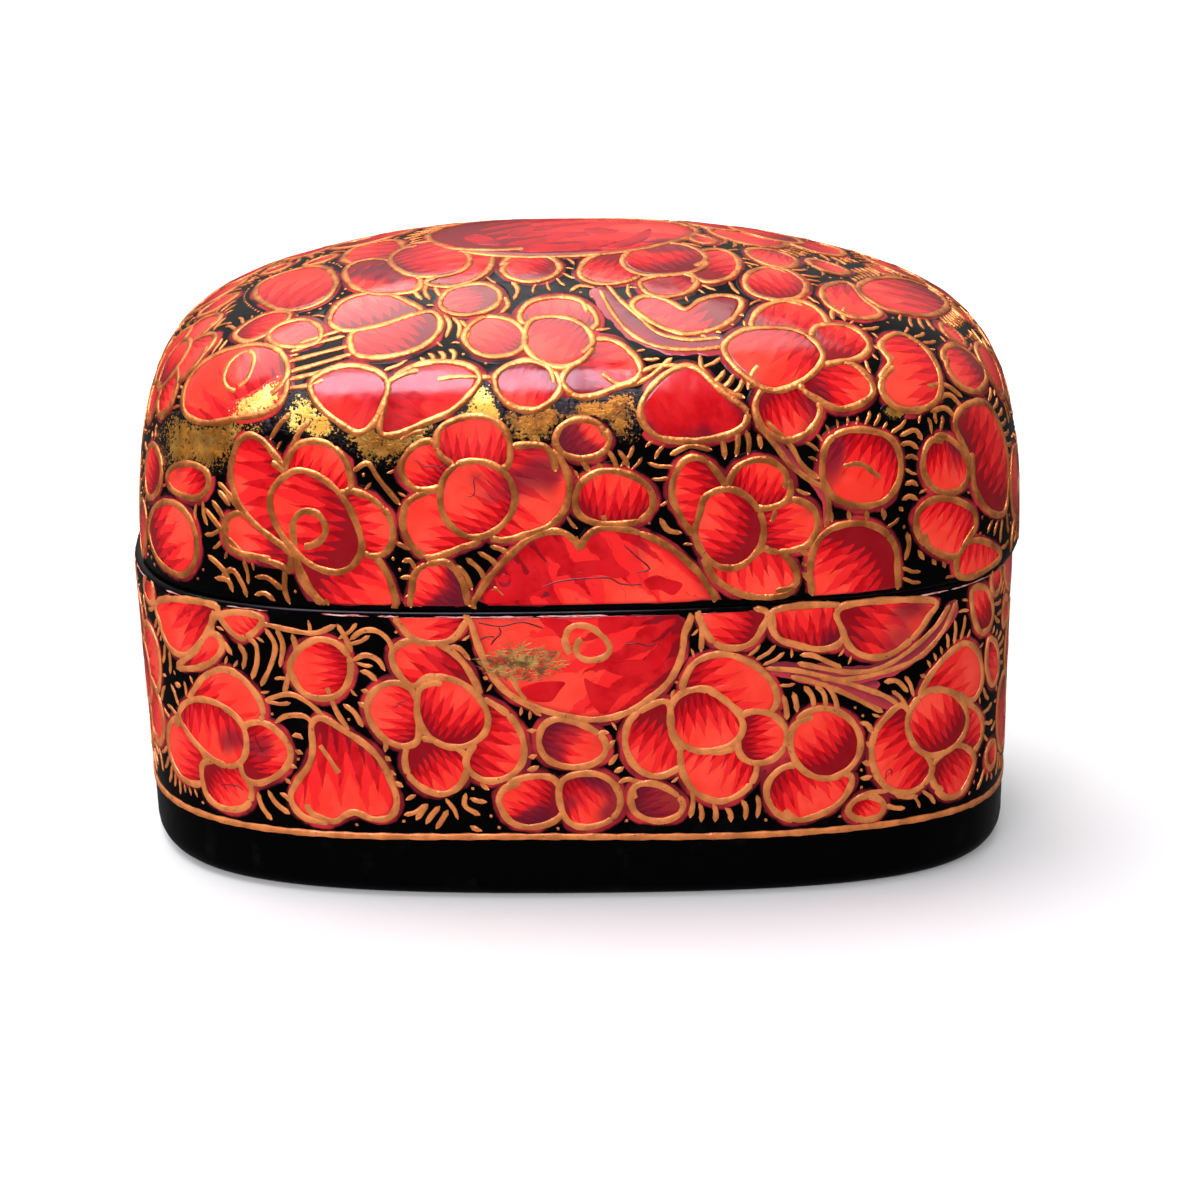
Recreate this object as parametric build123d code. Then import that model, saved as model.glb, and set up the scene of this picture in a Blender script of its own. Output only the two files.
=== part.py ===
from build123d import *
import math
import os

# A small papier mache trinket box: an oblong tub with a domed lid that lifts off.
# Each shell is moulded from layers of paper pulp, and the two are sawn apart along one
# seam. A thin strip glued inside the tub stands proud of the seam and locates the lid.
# Origin: on the table, under the middle of the box. +X is its length, +Y its depth, +Z up.

# ---- Driving dimensions, in millimetres ----------------------------------------

# Plan of the mould, where the seam is
half_length = 40.0
half_depth = 27.0
corner_fullness = 0.78      # 0.55 gives an oval, and a higher number fills the corners out

# The saw cut that parts lid from base. It isn't quite level.
seam_height = 26.8          # in the middle of the box
seam_rise = 0.5             # how much higher the cut is at the right-hand end
rim_bevel = 0.4             # both sawn outer edges are rubbed down by this much

# Base
foot_inset = 1.1           # the wall leans in by this much from the seam to the table
foot_round = 1.8
base_wall = 3.1
floor_thickness = 3.0
floor_round = 3.5           # inside corner between floor and wall
base_offset = 0.3          # the hand-made rim stands this far left of the foot

# Lid
lid_rise = 28.1             # from the seam to the top of the dome
crown_rise = 9.7            # part of that height that lies above the shoulder
shoulder_power = 17.0       # a higher number gives a tighter shoulder
wall_power = 2.7           # a higher number gives a more upright wall
lid_wall = 2.2
lid_top = 2.6
lid_offset = 0.3           # the lid rests this far right of the middle, within its play

# Collar
collar_thickness = 1.2
collar_seat = 7.0           # depth of the glued part, below the seam
collar_stand = 4.5          # height above the seam
collar_lead = 0.3           # the top leans in by this much, to guide the lid on
collar_bevel = 0.4          # both top edges are rubbed down by this much

# ---- Counts and allowances ---------------------------------------------------------

round_steps = 4             # bands in each rounded corner of the base
dome_steps = 14             # sections from the seam to the top of the dome
cap_scale = 0.04            # the last section closes the dome with a flat this small
saw_margin = 2.0            # extra height of each rough shell, past the saw cut

os.makedirs("parts", exist_ok=True)

# The saw cut is a plane through the middle of the box, tilted along its length.
seam = Plane(
    origin=(0, 0, seam_height),
    x_dir=(half_length, 0, seam_rise),
    z_dir=(-seam_rise, 0, half_length),
)


def plan_section(inset, scale, centre_x, height):
    """The plan as a face of four mirrored curves, drawn in by an inset or scaled."""
    reach_x = (half_length - inset) * scale
    reach_y = (half_depth - inset) * scale
    quarters = []
    for side_x, side_y in ((1, 1), (-1, 1), (-1, -1), (1, -1)):
        corner = [
            (reach_x, 0),
            (reach_x, reach_y * corner_fullness),
            (reach_x * corner_fullness, reach_y),
            (0, reach_y),
        ]
        if side_x != side_y:
            corner.reverse()
        quarters.append(Bezier(*((centre_x + side_x * x, side_y * y, height) for x, y in corner)))
    return make_face(quarters)


def base_section(inset, height):
    """Section of the leaning wall of the base, drawn in by an inset, at any height."""
    lean = foot_inset * (1 - height / seam_height)
    centre_x = base_offset * (1 - 2 * height / seam_height)
    return plan_section(inset + lean, 1, centre_x, height)


def wall_block(inset, bottom, top, rounding):
    """A solid bounded by the wall of the base, drawn in by an inset, with a rounded lower edge."""
    sections = []
    for step in range(round_steps + 1):
        angle = math.pi / 2 * step / round_steps
        height = bottom + rounding * (1 - math.cos(angle))
        sections.append(base_section(inset + rounding * (1 - math.sin(angle)), height))
    return loft(sections + [base_section(inset, top)], ruled=True)


def dome_block(inset, rise):
    """The dome as a solid, from below the saw cut to its top, drawn in by an inset.

    Over a plan scaled by s, the surface stands (rise - crown * s^2) * (1 - s^m)^(1/q)
    above the seam: a shallow crown, turned down by a round shoulder into a wall.
    """
    sections = [plan_section(inset, 1, lid_offset, seam_height - saw_margin)]
    for step in range(dome_steps + 1):
        scale = 1 - (1 - cap_scale) * (step / dome_steps) ** 3
        crown = rise - crown_rise * scale ** 2
        wall = (1 - scale ** shoulder_power) ** (1 / wall_power)
        sections.append(plan_section(inset, scale, lid_offset, seam_height + crown * wall))
    return loft(sections)


def rim_edges(shell):
    """The four outer edges of a sawn rim: those in the seam furthest from its middle."""
    in_seam = [edge for edge in shell.edges() if abs(seam.to_local_coords(edge.center()).Z) < 0.05]
    return sorted(in_seam, key=lambda edge: (edge.center() - seam.origin).length)[-4:]


def make_base_shell():
    """The tub: a leaning wall and a flat floor, sawn off along the seam."""
    rough = wall_block(0, 0, seam_height + saw_margin, foot_round)
    sawn = split(rough, bisect_by=seam, keep=Keep.BOTTOM)
    shell = sawn - wall_block(base_wall, floor_thickness, seam_height + 2 * saw_margin, floor_round)
    return chamfer(rim_edges(shell), rim_bevel)


def make_lid_shell():
    """The domed lid: an even shell, sawn off along the same seam."""
    sawn = split(dome_block(0, lid_rise), bisect_by=seam, keep=Keep.TOP)
    shell = sawn - dome_block(lid_wall, lid_rise - lid_top)
    return chamfer(rim_edges(shell), rim_bevel)


def make_inner_collar():
    """The strip inside the rim: it follows the wall to the seam, then leans in."""
    bottom = seam_height - collar_seat
    top = seam_height + collar_stand

    def strip_block(inset, bevel):
        sections = [base_section(inset, bottom), base_section(inset, seam_height)]
        for drawn_in, height in ((0, top - collar_bevel), (bevel, top)):
            lean = inset + collar_lead + drawn_in
            sections.append(plan_section(lean, 1, -base_offset, height))
        return loft(sections, ruled=True)

    inside = base_wall + collar_thickness
    return strip_block(base_wall, collar_bevel) - strip_block(inside, -collar_bevel)


for name, make in (
    ("base_shell", make_base_shell),
    ("inner_collar", make_inner_collar),
    ("lid_shell", make_lid_shell),
):
    export_step(make(), f"parts/{name}.step")
    print("wrote", name)
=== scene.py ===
# %% [markdown]
# # A painted papier mache box
#
# A small oblong box with a domed lid, lacquered black and painted all over with coral red
# flowers, each outlined in thick gold paint. The solids give the shells, the collar and the
# way the lid lifts. This file gives the box its paint. The work goes from the surface
# outwards: the black ground, then the flowers laid on it, then the gold line over both.

import math

import bpy
import numpy as np
from mathutils import Matrix, Vector
from mathutils.kdtree import KDTree


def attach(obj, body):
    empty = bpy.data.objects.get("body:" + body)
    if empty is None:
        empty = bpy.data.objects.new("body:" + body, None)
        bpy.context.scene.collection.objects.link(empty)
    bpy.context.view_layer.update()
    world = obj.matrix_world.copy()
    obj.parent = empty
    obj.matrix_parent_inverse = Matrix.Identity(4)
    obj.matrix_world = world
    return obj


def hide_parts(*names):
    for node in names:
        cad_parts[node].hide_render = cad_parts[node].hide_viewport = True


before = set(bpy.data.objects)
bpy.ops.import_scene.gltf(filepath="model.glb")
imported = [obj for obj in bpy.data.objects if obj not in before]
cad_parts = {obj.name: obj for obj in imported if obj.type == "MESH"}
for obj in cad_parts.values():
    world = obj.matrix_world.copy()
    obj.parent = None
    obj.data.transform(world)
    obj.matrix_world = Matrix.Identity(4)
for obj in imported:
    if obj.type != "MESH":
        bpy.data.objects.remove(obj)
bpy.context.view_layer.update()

# %% [markdown]
# ## Sizes
#
# The paint follows the shells to a tenth of a millimetre, so the shells' own formulas are
# repeated here with the same names as in the solids. Lengths are in millimetres until a
# mesh is made, where they become metres.

# %% Sizes
half_length, half_depth, corner_fullness = 40.0, 27.0, 0.78
seam_height, seam_rise, rim_bevel = 26.8, 0.5, 0.4
foot_inset, foot_round, base_wall = 1.1, 1.8, 3.1
floor_thickness, floor_round, base_offset = 3.0, 3.5, 0.3
lid_rise, crown_rise, shoulder_power, wall_power = 28.1, 9.7, 17.0, 2.7
lid_wall, lid_top, lid_offset = 2.2, 2.6, 0.3
band_height = 5.7           # of the gold line round the foot
paint_gap = 0.5             # the strip along the saw cut that petals leave bare
millimetre = 0.001
chance = np.random.default_rng(7)


def seam_at(x):
    """Height of the saw cut: a plane that rises along the length of the box."""
    return seam_height + seam_rise * x / half_length


# %% [markdown]
# ## The plan curve
#
# Seen from above the box is an oblong with full, soft corners: four mirrored cubic curves
# whose two middle control points stand at `corner_fullness` of the way to the corner. A
# table of how far that curve reaches in each direction tells whether any point is inside.

# %% Plan curve
turn = np.linspace(0, 1, 401)
plan_x = (1 - turn) ** 3 + 3 * turn * (1 - turn) ** 2 + 3 * turn ** 2 * (1 - turn) * corner_fullness
plan_y = plan_x[::-1]
plan_angle, plan_reach = np.arctan2(plan_y, plan_x), np.hypot(plan_x, plan_y)


def plan_share(x, y):
    """How far out a point lies, as a share of the plan curve's reach in its direction."""
    return np.hypot(x, y) / np.interp(np.arctan2(np.abs(y), np.abs(x)), plan_angle, plan_reach)


def lid_level(p):
    """Below 0 inside the dome: (h / (rise - crown s^2))^q + s^m - 1, with s the plan share."""
    s = plan_share((p[..., 0] - lid_offset) / half_length, p[..., 1] / half_depth)
    h = np.maximum(p[..., 2] - seam_height, 0)
    roof = np.maximum(lid_rise - crown_rise * s ** 2, 1)
    return (h / roof) ** wall_power + np.minimum(s, 1.5) ** shoulder_power - 1


def base_level(p):
    """Below 0 inside the leaning wall of the base: the plan share less 1."""
    lean = foot_inset * (1 - p[..., 2] / seam_height)
    middle = base_offset * (1 - 2 * p[..., 2] / seam_height)
    return plan_share((p[..., 0] - middle) / (half_length - lean), p[..., 1] / (half_depth - lean)) - 1


levels = {"lid": lid_level, "base": base_level}
print("a rim corner of the lid is", round(float(lid_level(np.array([40.3, 0, 27]))), 3), "off its level")


# %% [markdown]
# ## Landing a point on a shell
#
# Paint has to lie exactly on its shell, whatever way a motif was placed. A point is pressed
# home along a line from the middle of the box: the level is negative inside and positive
# outside, so halving the interval forty times finds the surface. The outward direction is
# the level's slope, from small differences.

# %% Press and normals
halvings = 40
core_share = 0.6            # the core's place in plan, as a share of the point's own
core_top = seam_height + 10
press_reach = 8             # the search ends at this many times the way from core to point
slope_step = 0.02


def bisect(inner, outer, level):
    """The point between inner and outer where the level passes 0."""
    low, high = np.zeros(inner.shape[:-1]), np.ones(inner.shape[:-1])
    for _ in range(halvings):
        middle = (low + high) / 2
        inside = level(inner + (outer - inner) * middle[..., None]) < 0
        low, high = np.where(inside, middle, low), np.where(inside, high, middle)
    return inner + (outer - inner) * low[..., None]


def press(p, body):
    """Moves points to the shell along lines that spread from the core of the box."""
    p = np.asarray(p, float)
    core = p * [core_share, core_share, 1]
    if body == "lid":
        core[..., 2] = np.minimum(p[..., 2], core_top)
    return bisect(core, core + (p - core) * press_reach, levels[body])


def outward(p, body):
    """Unit normals of the shell: the slope of the level."""
    step = slope_step * np.eye(3)
    slope = np.stack([levels[body](p + e) - levels[body](p - e) for e in step], -1)
    return slope / np.maximum(np.linalg.norm(slope, axis=-1, keepdims=True), 1e-12)


# %% [markdown]
# ## The camera
#
# The box is seen from a little above its front, with a long lens. The same few numbers
# place the camera and shoot a ray through any point of the picture, so a petal that is read
# off the picture at a pixel can be laid on the shell behind that pixel.

# %% Camera
picture_size = 1200
view_rise, view_turn = math.radians(16.018), math.radians(-1.346)
view_distance, focal_pixels = 485.0, 5270.4
aim_right, aim_height = 2.185, 20.018
search_depth, search_steps = 55.0, 221      # how far each way from the box a ray is searched
sensor_width = 36.0

back = np.array([
    math.sin(view_turn) * math.cos(view_rise),
    -math.cos(view_turn) * math.cos(view_rise),
    math.sin(view_rise),
])
right = np.cross(-back, [0, 0, 1.0])
right /= np.linalg.norm(right)
up = np.cross(right, -back)
eye = right * aim_right + np.array([0, 0, aim_height]) + back * view_distance


def cast(pixels, body):
    """Where rays through the given pixels meet a shell, or the nearest point if they miss."""
    pixels = np.asarray(pixels, float)
    ray = (
        right * ((pixels[:, :1] - picture_size / 2) / focal_pixels)
        - up * ((pixels[:, 1:] - picture_size / 2) / focal_pixels)
        - back
    )
    far = np.linspace(view_distance - search_depth, view_distance + search_depth, search_steps)
    trail = eye + ray[:, None] * far[None, :, None]
    level = levels[body](trail)
    hit = (level < 0).any(1)
    first = np.where(hit, (level < 0).argmax(1), level.argmin(1))
    rows = np.arange(len(pixels))
    outer = trail[rows, np.maximum(first - 1, 0)]
    found = bisect(trail[rows, first], outer, levels[body])
    return np.where(hit[:, None], found, press(trail[rows, first], body))


def make_camera():
    """A camera at the eye, with the lens that gives the picture its focal length."""
    lens = bpy.data.cameras.new("camera")
    lens.sensor_width = sensor_width
    lens.lens = focal_pixels / picture_size * sensor_width
    lens.clip_start, lens.clip_end = 0.01, 20
    camera = bpy.data.objects.new("camera", lens)
    bpy.context.collection.objects.link(camera)
    turned = np.eye(4)
    turned[:3, 0], turned[:3, 1], turned[:3, 2] = right, up, back
    turned[:3, 3] = eye * millimetre
    camera.matrix_world = Matrix(turned.tolist())
    bpy.context.scene.camera = camera


make_camera()
print("the middle of the picture meets the front at", cast([(600, 700)], "base").round(1))


# %% [markdown]
# ## Making meshes
#
# Every piece ends as one mesh: points in millimetres, faces as index rows, and any values
# that its finish reads from the mesh. Smooth shading hides the joins between faces.

# %% Mesh helper
def make_piece(name, points, faces, body, values=(), rounded=True):
    """A mesh object from points in millimetres, riding on a body.

    values are three numbers a point, by name, for the finish to read. rounded gives smooth
    shading, as one flag for all faces or one for each.
    """
    mesh = bpy.data.meshes.new(name)
    corners = [list(map(int, face)) for face in faces]
    mesh.from_pydata((np.asarray(points) * millimetre).tolist(), [], corners)
    mesh.update()
    for label, data in dict(values).items():
        layer = mesh.attributes.new(label, "FLOAT_VECTOR", "POINT")
        layer.data.foreach_set("vector", np.asarray(data, np.float32).ravel())
    mesh.polygons.foreach_set("use_smooth", np.broadcast_to(rounded, len(mesh.polygons)).copy())
    piece = bpy.data.objects.new(name, mesh)
    bpy.context.collection.objects.link(piece)
    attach(piece, body)
    print(name, len(mesh.vertices), "points", len(mesh.polygons), "faces")
    return piece


def grid_faces(rows, columns):
    """Quads between the rows of a grid whose columns close on themselves."""
    r, c = np.meshgrid(np.arange(rows - 1), np.arange(columns), indexing="ij")
    a, b = r * columns + c, r * columns + (c + 1) % columns
    return np.stack([a, b, b + columns, a + columns], -1).reshape(-1, 4)


def end_fans(rows, columns):
    """Triangles that close the first and last row of such a grid onto the two points after it."""
    step = np.arange(columns)
    after = (step + 1) % columns
    start, end = rows * columns, (rows - 1) * columns
    return np.stack([after, step, np.full(columns, start)], -1), np.stack(
        [end + step, end + after, np.full(columns, start + 1)], -1)


# %% [markdown]
# ## The two shells
#
# Both shells are moulded over the same former and sawn apart. Each is made here as one
# closed skin: a row of points follows the plan curve at every step of a profile that runs
# over the outside, round the sawn rim and back over the inside. Rows near the saw cut tilt
# with it, and the tilt fades out further away.

# %% Shells
columns = 224
top_flat = 0.004            # the last row of the dome, as a share of the plan
tilt_fade = 8.0             # the tilt of the saw cut has gone this far from it
rim_round = 0.28            # how far off the corner the middle of the bevel stands, as a share of it
well_tilt = 0.6             # of the inside of the tub, where the fading starts

share = (np.arange(columns // 4) + 0.5) / (columns // 4)
quarter_x = np.interp(share, turn, plan_x)
quarter_y = np.interp(share, turn, plan_y)
ring_x = np.r_[quarter_x, -quarter_x[::-1], -quarter_x, quarter_x[::-1]]
ring_y = np.r_[quarter_y, quarter_y[::-1], -quarter_y, -quarter_y[::-1]]


def skin(profile, body):
    """Points of a shell: (scale, inset, height, tilt) for each row, round the plan curve."""
    scale, inset, height, tilt = np.array(profile).T[:, :, None]
    x = (half_length - inset) * scale * ring_x
    y = (half_depth - inset) * scale * ring_y
    z = height + tilt * seam_rise * x / half_length
    if body == "base":
        lean = foot_inset * (1 - z / seam_height)
        x = x - lean * ring_x * scale + base_offset * (1 - 2 * z / seam_height)
        y = y - lean * ring_y * scale
    else:
        x = x + lid_offset
    return np.stack([x, y, z], -1)


def dome_rows(inset, rise, count):
    """Rows of a dome from its rim to its top, evenly spaced along the profile."""
    s = 1 - np.linspace(0, 1, 4000) ** 3
    z = (rise - crown_rise * s ** 2) * (1 - s ** shoulder_power) ** (1 / wall_power)
    along = np.r_[0, np.cumsum(np.hypot(np.diff(s) * half_depth, np.diff(z)))]
    even = np.linspace(0, along[-1], count)
    s, z = np.interp(even, along, s), np.interp(even, along, z)
    s[-1] = top_flat
    return [(a, inset, seam_height + h, max(0, 1 - h / tilt_fade)) for a, h in zip(s, z)]


def closed_skin(name, rows, body):
    """A closed mesh from rows of points whose first and last rows are closed by a fan."""
    points = skin(rows, body)
    ends = [points[0].mean(0), points[-1].mean(0)]
    first_fan, last_fan = end_fans(len(rows), columns)
    faces = grid_faces(len(rows), columns).tolist() + first_fan.tolist() + last_fan.tolist()
    piece = make_piece(name, np.vstack([points.reshape(-1, 3), ends]), faces, body)
    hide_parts(body + "_shell")
    return piece


def rim(inset, height, sign):
    """Three rows that round a sawn edge: its corner is rubbed down by the bevel."""
    return [
        (1, inset, height + sign * rim_bevel, 1),
        (1, inset + rim_round * rim_bevel, height + sign * rim_round * rim_bevel, 1),
        (1, inset + rim_bevel, height, 1),
    ]


outer = dome_rows(0, lid_rise, 76)[2:]
inner = dome_rows(lid_wall, lid_rise - lid_top, 48)
lid_rows = outer[::-1] + rim(0, seam_height, 1) + inner
lid = closed_skin("painted_lid_shell", lid_rows, "lid")


# %% The tub
def rounded_corner(inset, height, radius, steps=7):
    """Rows that turn from level to upright: inset + r (1 - sin a) and height + r (1 - cos a)."""
    bend = np.linspace(0, math.pi / 2, steps)
    return [(1, inset + radius * (1 - math.sin(a)), height + radius * (1 - math.cos(a)), 0) for a in bend]


flat_shares = (0.05, 0.4, 0.8)
sole = [(s, foot_round, 0, 0) for s in flat_shares]
foot = rounded_corner(0, 0, foot_round)
wall_top = seam_height - rim_bevel
wall_heights = np.linspace(foot_round, wall_top, 14)[1:-1]
wall = [(1, 0, z, (z - foot_round) / (wall_top - foot_round)) for z in wall_heights]
well = rounded_corner(base_wall, floor_thickness, floor_round)
floor = [(s, base_wall + floor_round, floor_thickness, 0) for s in flat_shares]
base_rows = (
    sole + foot + wall + rim(0, seam_height, -1)
    + [(1, base_wall, seam_height, 1), (1, base_wall, seam_height - tilt_fade, well_tilt)]
    + well[::-1] + floor[::-1]
)
base = closed_skin("painted_base_shell", base_rows, "base")


# %% [markdown]
# ## Petals and brush lines
#
# The painter lays a flower as overlapping rounded petals and then draws round each with
# gold. A petal here is a thin pillow of paint: rings shrink from its outline to its middle,
# every ring point is pressed to the shell, and the rings are raised by a few hundredths of
# a millimetre, more for the petals in front. The gold line is a ridge along a path, with a
# nearly flat top, which takes the light as one band. Where a petal lies behind another its
# line stops at the one in front.

# %% Brush tools
def smooth(path, closed, parts=6):
    """A Catmull-Rom curve through the points of a path.

    Between b and c, with a before them and d after, it is
    (2b + (c - a) t + (2a - 5b + 4c - d) t^2 + (3b - a - 3c + d) t^3) / 2, t from 0 to 1.
    """
    p = np.asarray(path, float)
    if closed:
        a, b, c, d = np.roll(p, 1, 0), p, np.roll(p, -1, 0), np.roll(p, -2, 0)
    else:
        q = np.vstack([2 * p[0] - p[1], p, 2 * p[-1] - p[-2]])
        a, b, c, d = q[:-3], q[1:-2], q[2:-1], q[3:]
    t = (np.arange(parts) / parts)[None, :, None]
    a, b, c, d = a[:, None], b[:, None], c[:, None], d[:, None]
    bend, twist = 2 * a - 5 * b + 4 * c - d, 3 * b - a - 3 * c + d
    curve = (0.5 * (2 * b + (c - a) * t + bend * t ** 2 + twist * t ** 3)).reshape(-1, p.shape[1])
    return curve if closed else np.vstack([curve, p[-1]])


def even(path, spacing=None, count=None, closed=False):
    """The same path with points evenly spaced along it."""
    p = np.vstack([path, path[:1]]) if closed else np.asarray(path)
    along = np.r_[0, np.cumsum(np.linalg.norm(np.diff(p, axis=0), axis=1))]
    count = count or max(3, int(round(along[-1] / spacing)) + 1)
    stops = np.linspace(0, along[-1], count + closed)[:count]
    return np.stack([np.interp(stops, along, p[:, i]) for i in range(p.shape[1])], -1)


def above_cut(p, body):
    """Height above the saw cut for the lid, and below it for the base."""
    high = p[..., 2] - seam_at(p[..., 0])
    return high if body == "lid" else -high


def tangents(n):
    """Two directions in the surface: level to the right, and uphill."""
    level = np.cross([0, 0, 1.0], n) + np.array([1e-6, 0, 0])
    level /= np.linalg.norm(level, axis=-1, keepdims=True)
    return level, np.cross(n, level)


# %% Petals
ring_steps = 40
petal_line, mark_line = 0.66, 0.5           # widths of the gold round a petal and of a small mark
plain_loops = 0.65          # the share of the loops that close without a hook
hook_reach = 0.24           # how far a hook turns in, as a share of the way to the middle
near_petals = 16.0          # how far off a petal may be and still stop another's line
least_petal = 0.3           # a petal whose middle is nearer to the bare strip than this is left out
petal_depth = 7.0           # how far off a petal's own plane still counts as within it
petals = []
rubs = []
lines = []


def brush_loop(outline, middle, body):
    """The gold line round a petal, as one stroke. A third of the strokes end in a hook inside."""
    loop = np.roll(outline, -int(chance.random() * len(outline)), axis=0)
    if chance.random() < plain_loops:
        return np.vstack([loop, loop[:2]])
    path = np.vstack([loop, loop[:len(loop) // 9]])
    inward = np.clip((np.arange(len(path)) / len(loop) - 0.98) / 0.12, 0, 1)[:, None] * hook_reach
    return press(path + (middle - path) * inward, body)


def add_petal(outline, body, heart=None, front=(), drawn=True, shade=0.0, dusk=0.0, rank=None,
              group=petals):
    """One petal from an outline in space. front lists the petals that lie over it.

    Gives a list with the petal, or an empty one where its middle is past the saw cut. A
    petal that isn't drawn round is a brush stroke on another: shade 1 makes it deep red,
    and dusk 1 gives it a dark smudge. A patch of rubbed gold is made in the same way, and
    there shade says how dense the gold is, and dusk how bright.
    """
    edge = even(outline, count=ring_steps, closed=True)
    middle = press(edge.mean(0)[None], body)[0]
    normal = outward(middle[None], body)[0]
    if drawn:
        laid = [petal for petal in petals
                if petal["body"] == body and np.linalg.norm(petal["middle"] - middle) < near_petals]
        add_line(brush_loop(outline, middle, body), body, petal_line, laid)
    over = above_cut(middle, body) - paint_gap
    if over < least_petal:
        return []
    gap = above_cut(edge, body) - paint_gap
    share = np.where(gap < 0, over / np.maximum(over - gap, 1e-6), 1.0)[:, None]
    petal = {
        "body": body, "middle": middle, "normal": normal, "edge": middle + (edge - middle) * share,
        "line": outline, "heart": middle if heart is None else heart, "drawn": drawn,
        "rank": 3 - min(len(front), 3) if rank is None else rank,
        "tone": chance.random(), "shade": shade, "dusk": dusk,
    }
    petal["sides"] = tangents(normal)
    flat = np.stack([(petal["edge"] - middle) @ side for side in petal["sides"]], -1)
    angle = np.arctan2(flat[:, 1], flat[:, 0])
    order = np.argsort(angle)
    petal["angle"], petal["reach"] = angle[order], np.hypot(*flat.T)[order]
    group.append(petal)
    return [petal]


def within(petal, p, grow=0.0):
    """Whether points lie inside a petal's outline, grown by some millimetres."""
    away = p - petal["middle"]
    x, y = away @ petal["sides"][0], away @ petal["sides"][1]
    reach = np.interp(np.arctan2(y, x), petal["angle"], petal["reach"], period=2 * math.pi)
    return (np.hypot(x, y) < reach + grow) & (np.abs(away @ petal["normal"]) < petal_depth)


# %% Gold lines
def keep_line(path, body, width, height, kind):
    """Adds a line to the list of those that become ridges."""
    lines.append({"body": body, "path": path, "width": width, "height": height, "kind": kind})


line_step = 0.36            # between the points of a line
line_gap = 0.25             # a line ends this far from the saw cut
line_overlap = 0.15         # and this far inside a petal in front


def add_line(path, body, width, front=(), height=0.12, kind="gold"):
    """A gold line along a path in space, left out under front petals and past the saw cut."""
    path = even(path, spacing=line_step)
    keep = above_cut(path, body) > line_gap
    for petal in front:
        keep &= ~within(petal, path, -line_overlap)
    starts = np.flatnonzero(np.diff(np.r_[False, keep].astype(int)) == 1)
    stops = np.flatnonzero(np.diff(np.r_[keep, False].astype(int)) == -1) + 1
    for start, stop in zip(starts, stops):
        if stop - start >= 3:
            keep_line(path[start:stop], body, width, height, kind)


# %% [markdown]
# ## Flowers on the front of the lid
#
# Each flower is written as outlines, the petal in front first: x,y pairs in picture points,
# with a semicolon after each petal. They were read off the picture, ten or so points a
# petal, and a smooth curve through the points gives the petal its round edge.

# %% Reading outlines and paths
def read_points(text):
    """One array of x,y pairs for each part of the text that a semicolon ends."""
    return [np.array([pair.split(",") for pair in part.split()], float) for part in text.split(";")]


def cast_outlines(text, body):
    """Closed outlines, smoothed and cast onto a shell."""
    return [cast(smooth(points, True), body) for points in read_points(text)]


def cast_paths(text, body):
    """Open paths, smoothed and cast onto a shell."""
    return [cast(smooth(points, False), body) for points in read_points(text)]


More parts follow.
